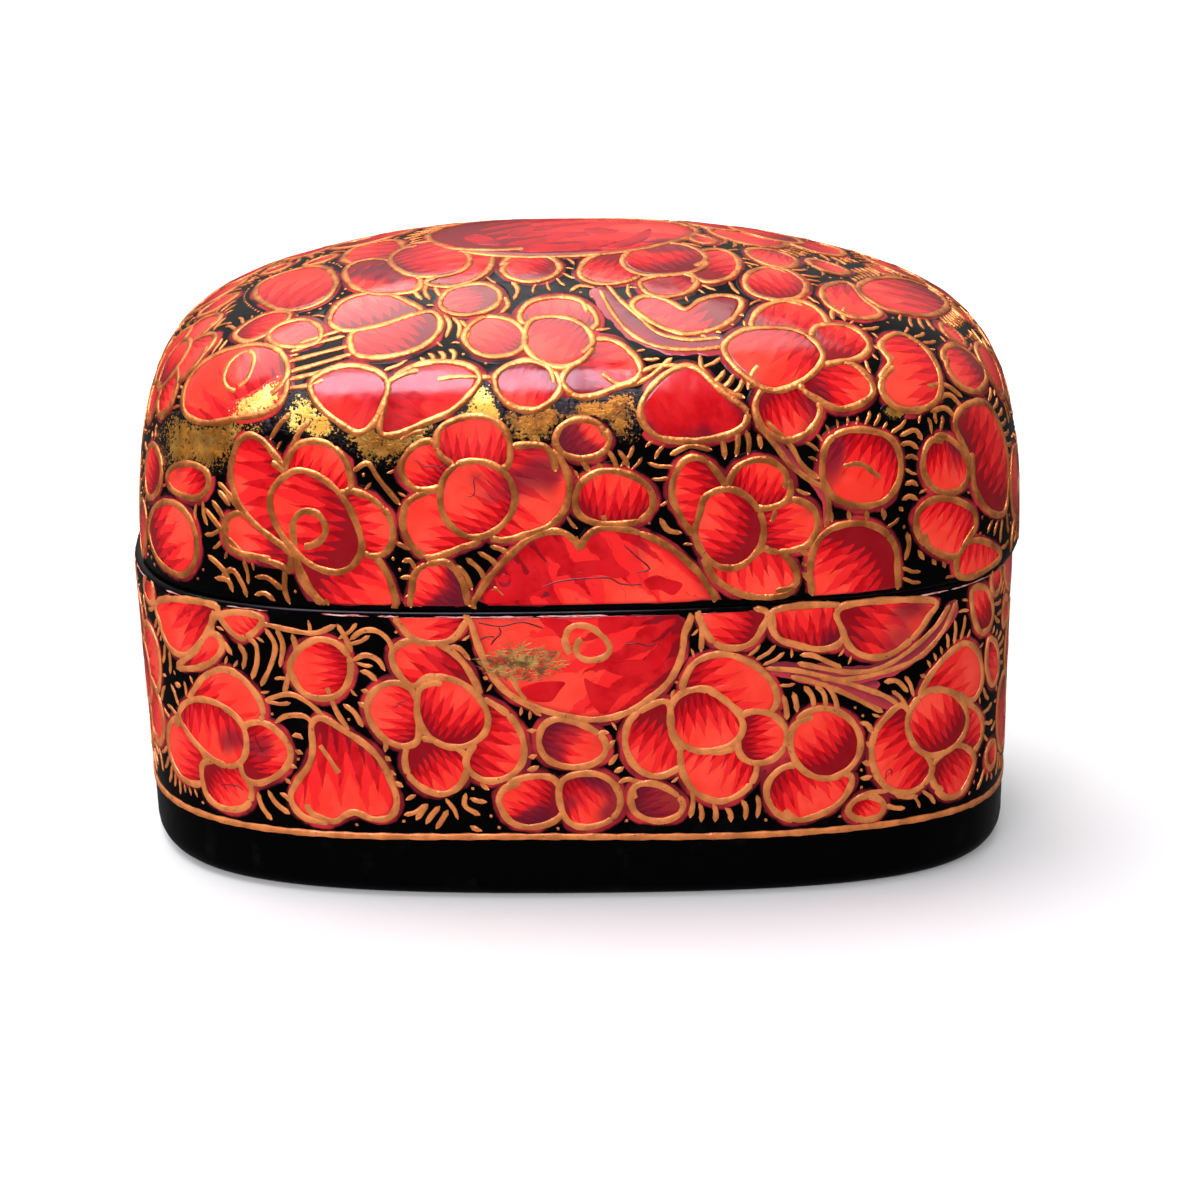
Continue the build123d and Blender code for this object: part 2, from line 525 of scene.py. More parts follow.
# %% Flowers of the lid, front
lid_flowers = {
    "tilted_rose": """
        280,480 300,470 325,480 345,500 357,525 362,548 352,566 335,572 312,565 290,545 275,522 270,498;
        285,470 275,455 262,440 248,435 237,445 231,470 234,490 243,510 262,530 282,545 293,553 300,520
        295,490;
        288,475 290,455 300,444 315,441 330,445 342,455 349,470 350,490 330,490;
        345,492 365,495 380,505 390,518 393,535 388,550 375,556 362,550 350,520;
        340,560 362,548 378,560 388,575 393,590 395,606 365,612 330,612 315,597 303,582 298,558 318,562;
        265,530 255,520 240,513 228,518 225,530 228,545 240,553 260,558 280,565 290,570 288,545""",
    "blossom_left": """
        440,498 444,478 458,464 478,461 497,467 510,480 515,498 510,515 496,530 478,537 460,533 445,518;
        440,455 438,432 455,420 475,416 492,419 505,430 510,447 505,468 470,470;
        450,450 430,441 412,448 401,465 405,480 420,490 445,485 455,468;
        440,490 410,500 403,517 405,533 413,547 426,557 442,555 462,547 478,540 465,515;
        500,452 525,445 547,447 561,460 569,480 568,500 560,516 545,528 525,535 500,540 488,530 500,490""",
    "blossom_right": """
        700,512 705,497 722,489 740,492 755,505 763,522 762,542 752,557 737,567 718,566 703,553 695,533;
        727,492 715,470 700,458 685,460 675,475 672,495 680,515 690,530 700,535 708,505;
        727,492 735,470 750,461 768,460 783,470 790,485 787,500 768,508 745,505;
        752,510 765,502 785,499 803,502 815,512 817,528 810,542 800,548 780,552 765,548 755,530;
        705,555 735,562 765,548 780,552 793,565 797,580 790,592 770,597 745,595 725,586 711,573""",
    "great_rose_top": """
        476,609 480,592 490,577 500,565 512,553 527,540 545,532 562,532 574,540 580,548 586,537 600,528
        625,529 650,537 672,549 690,564 704,580 713,604 660,607 600,608 530,611""",
    "bud_by_seam": "415,612 412,590 416,572 428,564 445,562 455,570 463,583 467,600 466,612",
    "bud_middle": "555,440 562,426 580,419 598,424 609,437 605,450 590,458 572,457 560,451",
    "bud_tilted": "575,500 582,482 602,471 628,474 648,487 653,505 640,520 620,524 597,523 580,515",
    "bud_square": """
        822,470 826,445 842,432 866,430 890,438 900,458 898,482 885,500 862,506 838,500 826,487""",
    "bud_cut": "811,560 818,540 835,527 860,523 882,530 894,545 897,565 893,600 850,606 818,604 811,585",
    "edge_blossom": """
        923,470 925,450 935,437 948,438 962,452 968,470 962,487 948,493 932,487;
        916,525 919,510 935,499 955,500 972,510 975,526 966,541 956,556 938,553 922,541;
        955,425 963,407 983,402 997,420 1006,450 1008,485 1004,512 990,512 975,490 967,455;
        960,548 975,540 992,545 1000,556 985,570 965,578 956,570""",
    "bud_small_left": "168,475 176,466 192,464 207,472 208,488 196,498 180,494 170,486",
    "bud_edge_left": "158,505 175,503 190,518 197,540 195,562 182,575 163,565 152,545 150,522",
    "shoulder_pair": """
        310,385 325,372 350,366 375,371 388,383 385,400 375,422 358,433 338,422 318,405;
        388,384 410,368 440,362 468,366 480,378 470,395 450,412 420,425 395,435 380,432 384,405""",
    "dark_bud": """
        640,410 648,392 665,375 685,366 700,371 715,385 732,399 747,412 742,427 720,437 690,441 660,438
        645,426""",
}

# %% Flowers of the lid, top
crown_flowers = {
    "bud_far_left": "256,296 262,283 285,273 312,267 328,270 336,284 325,300 300,310 275,309",
    "blossom_far_left": """
        390,262 400,250 420,243 445,243 463,250 470,262 460,272 435,277 408,275;
        345,272 358,262 385,260 405,270 420,280 418,290 400,294 372,294 352,286;
        345,262 352,250 375,243 400,242 400,258 380,264;
        455,243 475,245 491,254 490,268 475,280 450,287 425,283 450,270""",
    "bud_far_mid": "440,305 446,293 460,287 482,284 497,290 500,300 490,310 468,315 450,313",
    "bud_far_right": "502,268 510,258 530,256 550,258 560,268 550,278 530,282 510,278",
    "double_left": """
        350,342 356,331 385,325 410,316 433,312 441,325 431,341 410,352 380,358 356,355;
        330,322 338,305 360,295 385,294 405,301 422,312 395,321 370,328 345,331""",
    "blossom_top": """
        524,340 530,322 548,317 570,319 588,330 593,346 583,360 562,368 540,361 528,351;
        464,336 475,322 490,317 512,321 525,335 522,349 506,356 485,356 470,348;
        495,378 508,366 530,361 552,370 561,386 553,400 535,410 515,408 500,396;
        585,342 610,340 628,350 640,366 636,380 615,388 595,396 575,396 562,380 575,362;
        520,320 528,304 550,298 575,299 592,310 597,325 580,332 545,330""",
    "blossom_far_right": """
        622,262 633,250 655,244 682,245 702,253 706,265 690,273 660,276 635,273;
        580,276 585,262 600,255 622,252 640,260 640,276 620,283 598,284;
        640,283 655,277 680,274 697,280 690,291 670,297 650,295;
        695,254 720,250 736,258 738,270 725,280 705,282 690,272""",
    "bud_top_right": "745,280 752,272 770,268 790,272 806,285 800,297 780,301 760,297 748,290",
    "heart_leaf_top": """
        632,306 640,298 655,297 672,303 686,310 700,301 720,296 741,300 738,313 725,325 705,332 685,334
        665,329 645,318""",
    "blossom_shoulder": """
        724,346 740,332 765,328 795,330 815,342 823,358 811,375 786,389 765,389 745,376 730,361;
        813,330 835,325 856,330 869,345 861,357 840,362 818,362;
        815,360 850,364 868,378 873,392 862,403 840,409 820,401 800,385;
        768,384 755,405 763,428 785,440 808,432 820,412 812,392 790,384;
        752,328 758,311 780,302 805,303 823,315 828,332 800,336 770,334""",
    "pair_far_right": """
        822,291 833,284 850,284 863,299 881,314 862,319 840,313 826,303;
        858,290 870,280 900,279 930,289 947,305 930,316 900,313 878,306""",
    "bud_shoulder_right": """
        880,345 897,334 918,343 932,358 940,378 938,398 922,409 900,409 884,396 881,378 890,362""",
    "bud_end_right": "943,352 955,345 974,358 986,375 978,391 960,386 948,370",
    "left_rose": """
        183,404 187,384 202,364 226,351 254,345 276,349 287,364 287,386 280,404 262,414 235,419 207,423
        189,417""",
    "double_far_left": """
        268,337 280,325 304,320 320,328 319,341 302,347 280,346;
        235,335 250,322 272,313 290,314 282,326 262,337 245,342""",
}

# %% [markdown]
# ## Flowers on the front of the base
#
# The base carries the same kinds: five petalled blossoms, paired buds and a heart leaf,
# with the lower half of the great rose that starts on the lid.

# %% Flowers of the base
base_flowers = {
    "great_rose_bottom": """
        470,608 472,625 480,650 492,675 508,693 527,704 550,712 575,718 600,719 625,713 650,698 668,682
        680,660 684,635 683,608 580,606""",
    "blossom_left_low": """
        180,716 186,703 202,699 223,706 241,722 247,741 244,758 233,766 218,762 203,750 190,735;
        244,728 257,722 271,726 284,738 291,752 287,766 275,777 258,783 245,777 240,757;
        190,705 197,686 208,674 224,669 240,676 254,691 262,706 261,720 245,727 225,708;
        205,762 204,785 212,801 228,809 245,807 252,795 248,778 238,764;
        178,718 169,730 171,755 181,776 196,784 206,778 205,755 192,738""",
    "round_bud": """
        294,655 303,646 318,639 336,643 348,655 351,671 346,686 335,696 318,698 303,692 294,679 290,666""",
    "heart_leaf": """
        312,724 323,718 345,731 366,745 381,761 391,781 397,801 391,816 374,819 356,812 345,815 333,822
        309,819 296,809 291,795 299,779 309,765 313,748""",
    "bud_under_cut": "398,612 401,626 414,639 432,643 450,640 461,629 464,612",
    "left_cup": """
        160,600 162,628 170,647 183,655 197,647 209,628 216,606;
        195,652 205,636 216,634 223,646 213,661 195,668 178,666""",
    "blossom_mid_left": """
        417,704 421,686 436,677 455,680 471,689 482,702 488,717 485,732 474,742 459,747 443,745 428,735
        419,720;
        412,690 400,683 385,684 372,693 367,708 372,724 384,738 402,746 418,740 422,715;
        395,668 392,652 402,643 421,639 442,645 460,659 472,676 480,696 460,690 432,676 412,686;
        478,700 498,707 514,721 523,740 523,760 511,775 491,781 474,775 466,760 478,735;
        415,738 405,756 409,775 423,788 441,794 457,788 466,774 467,757 450,745""",
    "bud_mid": """
        539,737 544,725 556,719 575,722 591,729 603,738 606,749 600,759 585,766 565,766 549,760 541,750""",
    "double_low": """
        559,797 562,781 577,774 597,774 612,782 620,796 618,811 606,822 585,827 567,820;
        499,802 503,790 516,780 535,776 552,778 561,790 563,810 552,822 530,827 510,821""",
    "bud_low": "631,792 640,784 656,784 673,792 683,803 678,815 660,821 640,816 632,806",
    "blossom_mid_right": """
        671,706 682,693 700,689 719,696 734,709 743,724 738,739 722,748 700,751 681,743 671,727;
        742,716 765,712 781,722 787,737 780,753 765,762 748,761 738,748;
        684,745 681,765 689,785 704,797 722,801 741,793 753,780 756,764 742,748 715,752;
        683,690 690,668 705,657 726,654 747,661 763,672 774,686 777,702 768,713 748,717 725,700 705,688;
        668,702 643,709 629,722 625,741 630,759 641,771 656,776 671,772 685,760 672,735""",
    "bud_right_cut": "702,610 704,628 715,643 733,648 751,643 762,628 764,610",
    "pair_right_cut": """
        843,606 843,632 852,649 870,657 890,654 912,638 927,618 931,600;
        775,610 776,636 798,645 820,649 838,644 845,630 843,606""",
    "double_right": """
        790,741 796,722 812,710 830,709 848,718 859,734 859,753 848,769 830,778 811,775 796,762;
        767,797 769,781 782,768 800,765 822,772 850,775 848,791 835,806 815,816 795,820 777,813""",
    "blossom_end_right": """
        911,708 925,692 944,690 960,700 967,718 961,738 945,752 928,755 914,745 907,726;
        905,706 887,716 873,738 873,765 884,785 903,793 921,786 932,768 920,745;
        920,700 928,678 948,654 966,643 979,656 981,685 968,702 945,690;
        932,765 934,785 945,797 960,793 970,775 973,755 955,745;
        964,702 980,715 980,740 966,756 955,745 967,722""",
    "bud_low_right": "848,812 855,800 870,796 883,803 880,815 862,820",
    "end_buds": """
        972,590 985,588 992,605 990,625 980,632 973,615;
        988,640 996,645 998,670 992,685 986,668""",
    "leaf_under_cut": "221,616 232,632 243,638 256,630 262,618 240,612",
}


# %% Lay the flowers
dusky_buds = ("bud_middle", "bud_low", "bud_mid", "double_low", "dark_bud", "bud_by_seam")
dusky = dict.fromkeys(dusky_buds, 1.0) | {"blossom_top": -1.0}
# dark_bud is a deeper red of its own. On shoulder_pair the deeper red is partly its brush strokes and
# partly painted shade, where light from above only grazes the front of the shoulder.
deeper_red_and_painted_shade = {"dark_bud": 0.85, "shoulder_pair": 0.6}


def lay_flowers(flowers, body):
    """Casts each outline onto the shell. Brush strokes start from the flower's heart."""
    for name, text in flowers.items():
        shade, dusk = deeper_red_and_painted_shade.get(name, 0.0), dusky.get(name, 0.0)
        outlines = cast_outlines(text, body)
        front = []
        heart = None
        for outline in outlines:
            front = front + add_petal(outline, body, heart, front=front, shade=shade, dusk=dusk)
            if len(outlines) > 2 and heart is None:
                heart = front[0]["middle"]


crown_height = 53.0         # just under the top of the dome


def add_crown_rose(x=-1.5, y=0.5, wide=11.8, deep=8.4):
    """The great rose on the crown. Its far half can't be seen, so it is an oval seen from above."""
    a = np.linspace(0, 2 * math.pi, 60, endpoint=False)
    reach = 1 + 0.03 * np.sin(3 * a + 1) + 0.02 * np.sin(5 * a)
    level = np.full(60, crown_height)
    points = np.stack([x + wide * reach * np.cos(a), y + deep * reach * np.sin(a), level], -1)
    add_petal(press(points, "lid"), "lid", dusk=-1.0)


add_crown_rose()
lay_flowers(lid_flowers, "lid")
lay_flowers(crown_flowers, "lid")
lay_flowers(base_flowers, "base")
print(len(petals), "petals and", len(lines), "gold lines")

# %% [markdown]
# ## Broad strokes on the great roses
#
# The largest petals carry broad deep red strokes that sweep round the heart of the rose.
# Each is one more petal of paint with no gold round it, laid a little higher.

# %% Strokes of the great roses
lid_strokes = """
    482,603 488,590 503,586 512,570 520,560 526,574 538,566 546,580 556,590 530,598 505,604;
    553,577 558,565 575,561 600,559 622,565 634,575 618,579 600,575 580,579 564,575;
    642,580 655,574 668,578 684,583 680,592 672,596 660,590 648,590;
    462,238 475,234 492,238 503,246 485,246 470,243;
    510,248 535,244 565,245 590,243 585,250 555,252 525,253;
    596,248 615,244 635,236 650,229 652,235 640,244 615,250;
    506,236 518,229 538,227 530,233 516,238;
    582,230 600,228 620,232 605,236 590,235"""
base_strokes = """
    673,628 675,642 670,656 660,668 645,675 628,678 610,675 596,665 615,660 630,661 650,657 664,645;
    582,676 592,681 606,686 622,692 616,704 604,715 592,707 586,694;
    516,690 530,683 548,680 568,681 562,690 552,702 536,702 524,697;
    600,616 620,615 638,618 630,628 616,632 602,636 596,626;
    540,616 560,618 574,622 566,628 562,640 552,630 542,624"""
blots = """
    498,580 502,574 509,575 512,581 508,587 501,586;
    532,594 540,590 549,592 550,596 541,597"""
stroke_kinds = [(lid_strokes, "lid", 0.0, 3.5), (base_strokes, "base", 0.0, 3.5), (blots, "lid", 1.6, 4)]
for text, shell, dusk, rank in stroke_kinds:
    for outline in cast_outlines(text, shell):
        add_petal(outline, shell, drawn=False, shade=1.0, dusk=dusk, rank=rank)

# %% [markdown]
# ## Small gold marks
#
# Between the flowers the black ground is filled with hooks, arcs, combs and dots. The ones
# that show best are written as short paths in picture points. Two longer ones curl in the
# hearts of two roses.

# %% Gold marks of the front
lid_marks = """
    577,536 577,544 581,552; 285,568 285,590 290,604; 218,490 224,497 230,506; 222,575 233,570 243,585
    247,597; 215,578 228,580 233,592; 255,577 268,578 283,590; 255,595 265,593 275,601; 352,472 368,463
    378,478 400,505; 395,542 403,546 410,550; 402,562 410,560 416,570; 400,578 407,577 413,578; 405,597
    411,596 416,598; 455,565 466,575 472,590; 466,558 480,570 486,583; 478,552 492,560 498,568; 490,546
    503,550 510,556; 490,587 498,590 506,598; 602,512 604,518 605,526; 580,460 585,465 590,472; 597,462
    600,467 603,473; 608,450 614,460 618,471; 618,450 624,458 629,468; 755,422 775,445 790,465 810,480
    825,490 829,510 825,527; 765,420 790,445 802,465 819,479; 722,438 724,449 725,459; 737,430 738,443
    736,457; 746,430 749,442 748,455; 758,434 760,441 761,449; 800,548 804,552 809,556; 802,562 804,564
    806,566; 802,572 807,577 813,584; 670,455 690,446 712,450; 660,518 668,530 682,533; 775,508 774,516
    770,523; 830,510 831,516 832,522; 848,510 849,515 850,521; 866,510 867,515 866,521; 882,508 884,514
    884,520; 899,507 901,509 903,511; 840,467 860,464 883,480; 238,505 226,490 218,482; 205,508 222,530
    235,545 248,560; 212,500 222,515 230,532; 226,492 236,505 240,512; 208,555 222,568 230,580; 900,445
    910,443 918,449; 905,458 912,456 918,460; 905,485 912,482 918,486; 902,500 910,496 918,500; 925,387
    945,385 962,397; 938,398 950,395 962,408; 930,412 945,408 955,418; 900,436 915,430 922,440; 905,560
    909,545 907,532; 918,550 921,555 924,560; 932,559 934,562 936,565; 943,561 944,564 945,568; 290,450
    300,432 312,420; 270,440 280,424 292,412; 400,440 412,433 424,431"""
crown_marks = """
    238,392 228,388 224,378 229,364 240,354 251,352 254,362 247,380 236,389; 435,380 460,377 492,378;
    290,352 315,344 345,336; 288,362 318,354 350,346; 290,372 322,363 352,354; 289,380 318,373 346,364;
    296,344 320,337 342,330; 288,389 308,386 326,379; 460,320 468,330 466,343; 420,357 424,362 419,369;
    428,353 434,358 430,366; 438,351 444,356 441,365; 449,349 455,354 452,363; 445,315 450,325 446,338;
    453,317 460,326 458,338; 420,282 415,292 422,300; 428,282 425,292 430,300; 438,282 436,290 441,297;
    505,297 508,306 500,314; 512,282 518,290 514,300; 600,290 612,312 630,333 655,346 690,350 725,347;
    607,285 622,302 640,318 660,334 690,340 720,338; 640,372 660,366 680,366; 600,372 620,385 645,380
    672,358; 700,355 702,368 712,380 730,392 745,398; 725,370 720,378 712,384; 734,374 730,382 722,389;
    743,378 740,388 732,395; 760,364 752,374 748,390; 835,305 832,313 833,320; 845,307 843,314 845,321;
    700,334 703,336 706,337; 715,330 718,332 721,333; 728,322 731,324 734,325; 738,313 741,315 744,316;
    872,345 885,352 895,362; 570,292 580,286 595,288"""
base_marks = """
    326,684 331,698 338,714 349,730; 318,742 330,759 341,776; 247,637 256,645 257,662 252,679; 238,643
    245,655 243,669; 265,628 275,645 271,665 261,686; 276,628 283,645 280,667; 292,634 296,650 290,670
    284,694; 257,622 290,630 315,633 336,625; 337,624 345,637 352,652; 350,640 362,631 377,631 389,641
    394,655; 352,661 365,655 378,660 385,671; 360,671 368,673 377,681; 361,690 365,691 369,692; 358,702
    363,705 369,707; 343,704 354,712 363,727; 265,700 290,694 310,704 326,719; 275,723 286,716 304,716
    314,724; 292,736 298,735 303,739; 295,750 299,752 303,754; 288,765 293,766 297,768; 285,778 288,781
    291,784; 258,792 262,806 272,820; 268,790 276,803 290,814; 280,793 286,796 292,802; 380,735 386,742
    385,752; 385,756 388,759 391,761; 388,770 392,773 396,775; 394,782 399,784 403,787; 406,800 411,797
    416,795; 404,815 416,812 427,804; 447,648 459,648 470,660; 483,677 485,678 488,679; 508,693 527,704
    541,716; 509,672 515,684 527,702; 527,730 532,731 537,730; 528,757 532,757 537,755; 527,770 533,769
    539,766; 480,783 485,787 489,790; 466,793 465,806 480,815; 470,798 478,801 487,802; 598,735 603,732
    609,733; 605,750 610,745 615,740; 609,765 613,760 618,754; 614,772 619,770 624,767; 700,612 702,630
    701,652; 634,782 634,794 638,801; 618,783 628,779 638,782 650,784; 692,785 693,802 690,818; 699,803
    702,812 701,822; 713,803 716,812 715,822; 725,808 730,812 731,822; 742,800 746,808 745,820; 772,612
    774,622 772,636; 757,795 759,805 757,818; 800,655 812,655 826,661 842,668; 797,663 822,668 850,672
    880,668 910,650 935,627 950,604; 820,678 850,679 890,670 920,656 942,632 957,600; 765,668 800,671
    840,681 880,694 898,704; 790,676 825,685 855,698 883,712; 804,686 812,696 814,708; 815,684 824,694
    826,708; 824,682 834,696 838,712; 783,695 786,706 787,720; 793,692 796,702 797,712; 884,682 897,681
    908,692; 920,675 923,676 926,677; 860,722 868,725 872,733; 866,742 870,745 872,750; 862,762 867,763
    871,765; 860,778 866,778 872,776; 855,798 870,793 890,790; 885,805 895,808 905,808; 470,826 476,829
    482,831; 440,806 432,815 426,824; 448,810 442,820 436,829; 428,804 422,812 416,820; 215,608 212,622
    214,636; 216,640 225,644 232,655; 895,795 905,797 918,796; 175,683 178,685 181,686"""


tilted_rose_curl = """
    325,605 312,591 303,575 296,556 293,528 296,517 305,511 316,513 323,520 326,531 320,541
    309,546 301,546"""
great_rose_curl = """
    571,657 565,642 566,633 571,627 579,625 590,627 602,635 610,648 604,657 590,660 580,657
    576,650 578,642 585,637"""
mark_height = 0.09


def lay_marks(text, body, width=mark_line):
    """Casts each short path onto the shell as a slim gold line."""
    for path in cast_paths(text, body):
        add_line(path, body, width, height=mark_height)


lay_marks(lid_marks, "lid")
lay_marks(crown_marks, "lid")
lay_marks(base_marks, "base")
lay_marks(tilted_rose_curl, "lid", 0.7)
lay_marks(great_rose_curl, "base", petal_line)
print(len(lines), "gold lines")

# %% [markdown]
# ## Wear, and a painted highlight on the rim
#
# Gold paint was rubbed along the shoulder of the lid, where it lies as ragged patches on
# the black, and over one rose. The great rose has a scuff of fine crossed scratches. Short
# light lines along the sawn edge of the tub are chips and a painted highlight, where the rim
# catches the light, and the varnish has cracked in places. Each patch has two numbers: how
# dense its gold is, and how far it is bright, as over red.

# %% Rubbed gold
rubbed = {
    "left_rose_rub": (0.85, 1.0, """
        224,406 240,398 258,388 272,378 284,374 290,386 286,402 276,415 256,423 234,423"""),
    "left_edge_rub": (0.88, 0.12, """
        158,428 174,410 200,414 226,418 262,416 278,424 264,440 248,446 238,468 214,478 186,474 166,476
        156,456"""),
    "left_pair_rub": (0.72, 0.5, """
        268,420 284,398 300,382 314,388 328,406 344,424 352,440 330,448 306,440 284,436"""),
    "middle_left_rub": (0.88, 0.15, """
        324,430 350,424 376,428 400,420 424,412 444,414 448,430 436,452 410,462 380,470 352,458 336,446"""),
    "over_stem_rub": (0.82, 0.55, """
        452,420 462,400 470,384 486,380 500,392 504,408 512,420 500,434 480,436 462,430"""),
    "middle_rub": (0.88, 0.12, """
        494,412 524,410 548,402 562,396 574,404 566,424 552,444 528,450 508,440 498,426"""),
    "middle_right_rub": (0.86, 0.12, """
        552,408 572,396 600,398 626,388 646,392 652,412 640,440 622,446 606,424 582,416 560,422"""),
    "right_speck": (0.8, 0.2, """
        880,408 892,404 905,410 902,420 886,420"""),
}
scuff_ground = "494,662 500,652 520,649 545,651 554,658 548,670 530,675 508,674"
on_top, under_petals = 4.2, 0.8             # ranks of a patch over a petal and of one on the black
for density, over_red, text in rubbed.values():
    rank = on_top if over_red > 0.9 else under_petals
    for outline in cast_outlines(text, "lid"):
        add_petal(outline, "lid", drawn=False, shade=density, dusk=over_red, rank=rank, group=rubs)
for outline in cast_outlines(scuff_ground, "base"):
    add_petal(outline, "base", drawn=False, shade=0.55, dusk=1.0, rank=on_top, group=rubs)


# %% Scuff, rim chips with a painted highlight, and cracks
def lay_scuff(count=300, middle=(521, 663), wide=42, high=18):
    """Crossed hair lines, thickest in the middle of an oval of picture points."""
    for _ in range(count):
        far, way, lean = chance.random() ** 0.75, chance.random() * 6.3, chance.normal(0, 0.5)
        x, y = middle[0] + wide * far * math.cos(way), middle[1] + high * far * math.sin(way)
        reach = 4 + 8 * chance.random()
        dx, dy = reach * math.cos(lean), reach * math.sin(lean)
        bow = chance.normal(0, 2)
        hair = [(x - dx, y - dy), (x + bow, y - bow), (x + dx, y + dy)]
        hair = cast(smooth(hair, False), "base")
        add_line(hair, "base", 0.05 + 0.04 * chance.random(), height=0.13, kind="scuff")


def lay_chips(count=60, wide=36, deep=24):
    """Short light lines along the sawn edge of the tub, pressed out from an oval inside it.
    They are chips, and a painted highlight where the rim catches the light.
    """
    for _ in range(count):
        first, span = chance.random() * 2 * math.pi, 0.03 + 0.12 * chance.random() ** 2
        a = np.linspace(first, first + span, 6)
        path = np.stack([wide * np.cos(a), deep * np.sin(a), np.full(6, seam_height)], -1)
        path[:, 2] = seam_at(path[:, 0]) - 0.42 - 0.1 * chance.random(6)
        # Pale lines just under the rim's bevel: chips, and a painted highlight where the edge catches the
        # light.
        add_line(press(path, "base"), "base", 0.07 + 0.07 * chance.random(), height=0.04, kind="chip")


def lay_cracks(share=0.3):
    """Fine wandering cracks on some of the petals."""
    for petal in [petal for petal in petals if petal["drawn"] and chance.random() < share]:
        spot = petal["middle"] + (petal["edge"][chance.integers(ring_steps)] - petal["middle"]) * 0.75
        way = chance.random() * 6.3
        path = [spot]
        for _ in range(int(chance.integers(4, 9))):
            way += chance.normal(0, 0.8)
            ahead = math.cos(way) * petal["sides"][0] + math.sin(way) * petal["sides"][1]
            path.append(path[-1] + ahead * 0.5)
        path = press(np.array(path), petal["body"])
        if within(petal, path, -0.3).all():
            add_line(path, petal["body"], 0.09, height=0.1, kind="crack")


lay_scuff()
lay_chips()
lay_cracks()
rose_cracks = [
    ("base", "476,622 500,626 522,622 546,629"),
    ("base", "498,625 501,633 494,640 490,647"),
    ("base", "478,641 488,636 497,638"),
    ("lid", "540,588 560,581 590,578 610,578 622,584 645,584"),
    ("lid", "622,543 636,556 650,569 634,572"),
    ("base", "622,645 636,643 650,646 655,640"),
]
for shell, text in rose_cracks:
    for path in cast_paths(text, shell):
        add_line(path, shell, 0.14, height=0.11, kind="crack")
print(len(rubs), "rubbed patches,", len(lines), "lines")

# %% [markdown]
# ## Stems
#
# A few broad mauve stems run between the flowers, each with a gold line along both sides.
# A stem is the same ridge as the gold lines, wider and much flatter.

# %% Stems
stems = {
    "stem_to_right_blossom": ("base", 1.5, "768,668 800,672 840,684 875,698 900,706"),
    "stem_under_pair": ("base", 1.7, "812,670 850,676 890,667 920,650 945,622 956,600"),
    "stem_below": ("base", 1.0, "785,672 820,682 855,688 880,684"),
    "stem_over_crown": ("lid", 2.6, "598,286 612,305 632,326 660,341 700,345 730,342"),
    "stem_right": ("lid", 0.9, "770,436 790,458 812,478 826,500 828,525"),
}
for shell, width, text in stems.values():
    for path in cast_paths(text, shell):
        add_line(path, shell, width, height=0.035, kind="stem")

# %% [markdown]
# ## The back, the ends and the far side of the top
#
# The painter covered the whole box in the same way, so the sides that the picture doesn't
# show are filled with the same few motifs. Spots are scattered over both shells, and each
# knows how far it is from the nearest flower. The largest motif goes on the spot that it
# only just fits, then the next, then smaller ones until no bud fits.

# %% Motifs for the other sides
def oval(x, y, wide, high, spin, points=14):
    """An oval outline round (x, y), turned by spin, with a slight wobble of the hand."""
    a = np.linspace(0, 2 * math.pi, points, endpoint=False)
    wobble = 1 + 0.05 * np.sin(2 * a + chance.random() * 6) + 0.04 * np.sin(3 * a + chance.random() * 6)
    px, py = wide * wobble * np.cos(a), high * wobble * np.sin(a)
    c, t = math.cos(spin), math.sin(spin)
    return np.stack([x + c * px - t * py, y + t * px + c * py], -1)


def blossom(r):
    """A round centre with five petals behind it."""
    first = chance.random() * 6
    count = int(chance.integers(4, 6))
    outlines = [oval(0, 0, 0.4 * r, 0.44 * r, first)]
    for k in range(count):
        a = first + 2 * math.pi * (k + 0.18 * chance.random()) / count
        size = r * (0.34 + 0.14 * chance.random()) * (5 / count) ** 0.5
        outlines.append(oval(0.6 * r * math.cos(a), 0.6 * r * math.sin(a), 0.42 * r, size, a))
    return outlines


def double_bud(r):
    """Two buds side by side, one over the other."""
    a = chance.random() * 6
    c, t = 0.42 * r * math.cos(a), 0.42 * r * math.sin(a)
    return [oval(c, t, 0.56 * r, 0.62 * r, a), oval(-c, -t, 0.56 * r, 0.55 * r, a)]


def heart_leaf(r):
    """A heart with its point turned any way."""
    a = np.linspace(0, 2 * math.pi, 20, endpoint=False)
    x = 0.9 * r * np.sin(a) ** 3 * 0.95
    y = r * (0.78 * np.cos(a) - 0.3 * np.cos(2 * a) - 0.12 * np.cos(3 * a))
    spin = chance.random() * 6
    c, t = math.cos(spin), math.sin(spin)
    return [np.stack([c * x - t * y, t * x + c * y], -1)]


def bud(r):
    """One oval bud."""
    return [oval(0, 0, 0.95 * r, 0.8 * r, chance.random() * 6)]


def lay_on(outline, middle, body):
    """Wraps a flat outline onto the shell round a middle point."""
    sides = tangents(outward(middle[None], body))
    return press(middle + outline[:, :1] * sides[0] + outline[:, 1:] * sides[1], body)


def add_motif(outlines, middle, body):
    """Lays a motif on its shell, and the part past the saw cut on the other shell."""
    other = "base" if body == "lid" else "lid"
    groups = {body: [], other: []}
    hearts = middle if len(outlines) > 3 else None
    for outline in outlines:
        space = lay_on(smooth(outline, True), middle, body)
        groups[body] += add_petal(space, body, hearts, front=groups[body])
        high = above_cut(space, body)
        if high.min() < -1.2:
            cut = seam_at(space[:, 0])
            limit = np.minimum if other == "base" else np.maximum
            rest = press(np.column_stack([space[:, :2], limit(space[:, 2], cut)]), other)
            centre = press(even(rest, count=ring_steps, closed=True).mean(0)[None], other)
            if above_cut(centre, other)[0] > 0.8:
                groups[other] += add_petal(rest, other, hearts, front=groups[other])


# %% Scatter the motifs
cloud_size, cloud_corner = [86, 60, 52], [-43, -30, 6]
landing_reach = 9.0         # a point further than this from its shell is dropped
seen_enough = 0.36          # ground that faces the camera more squarely is filled from the picture


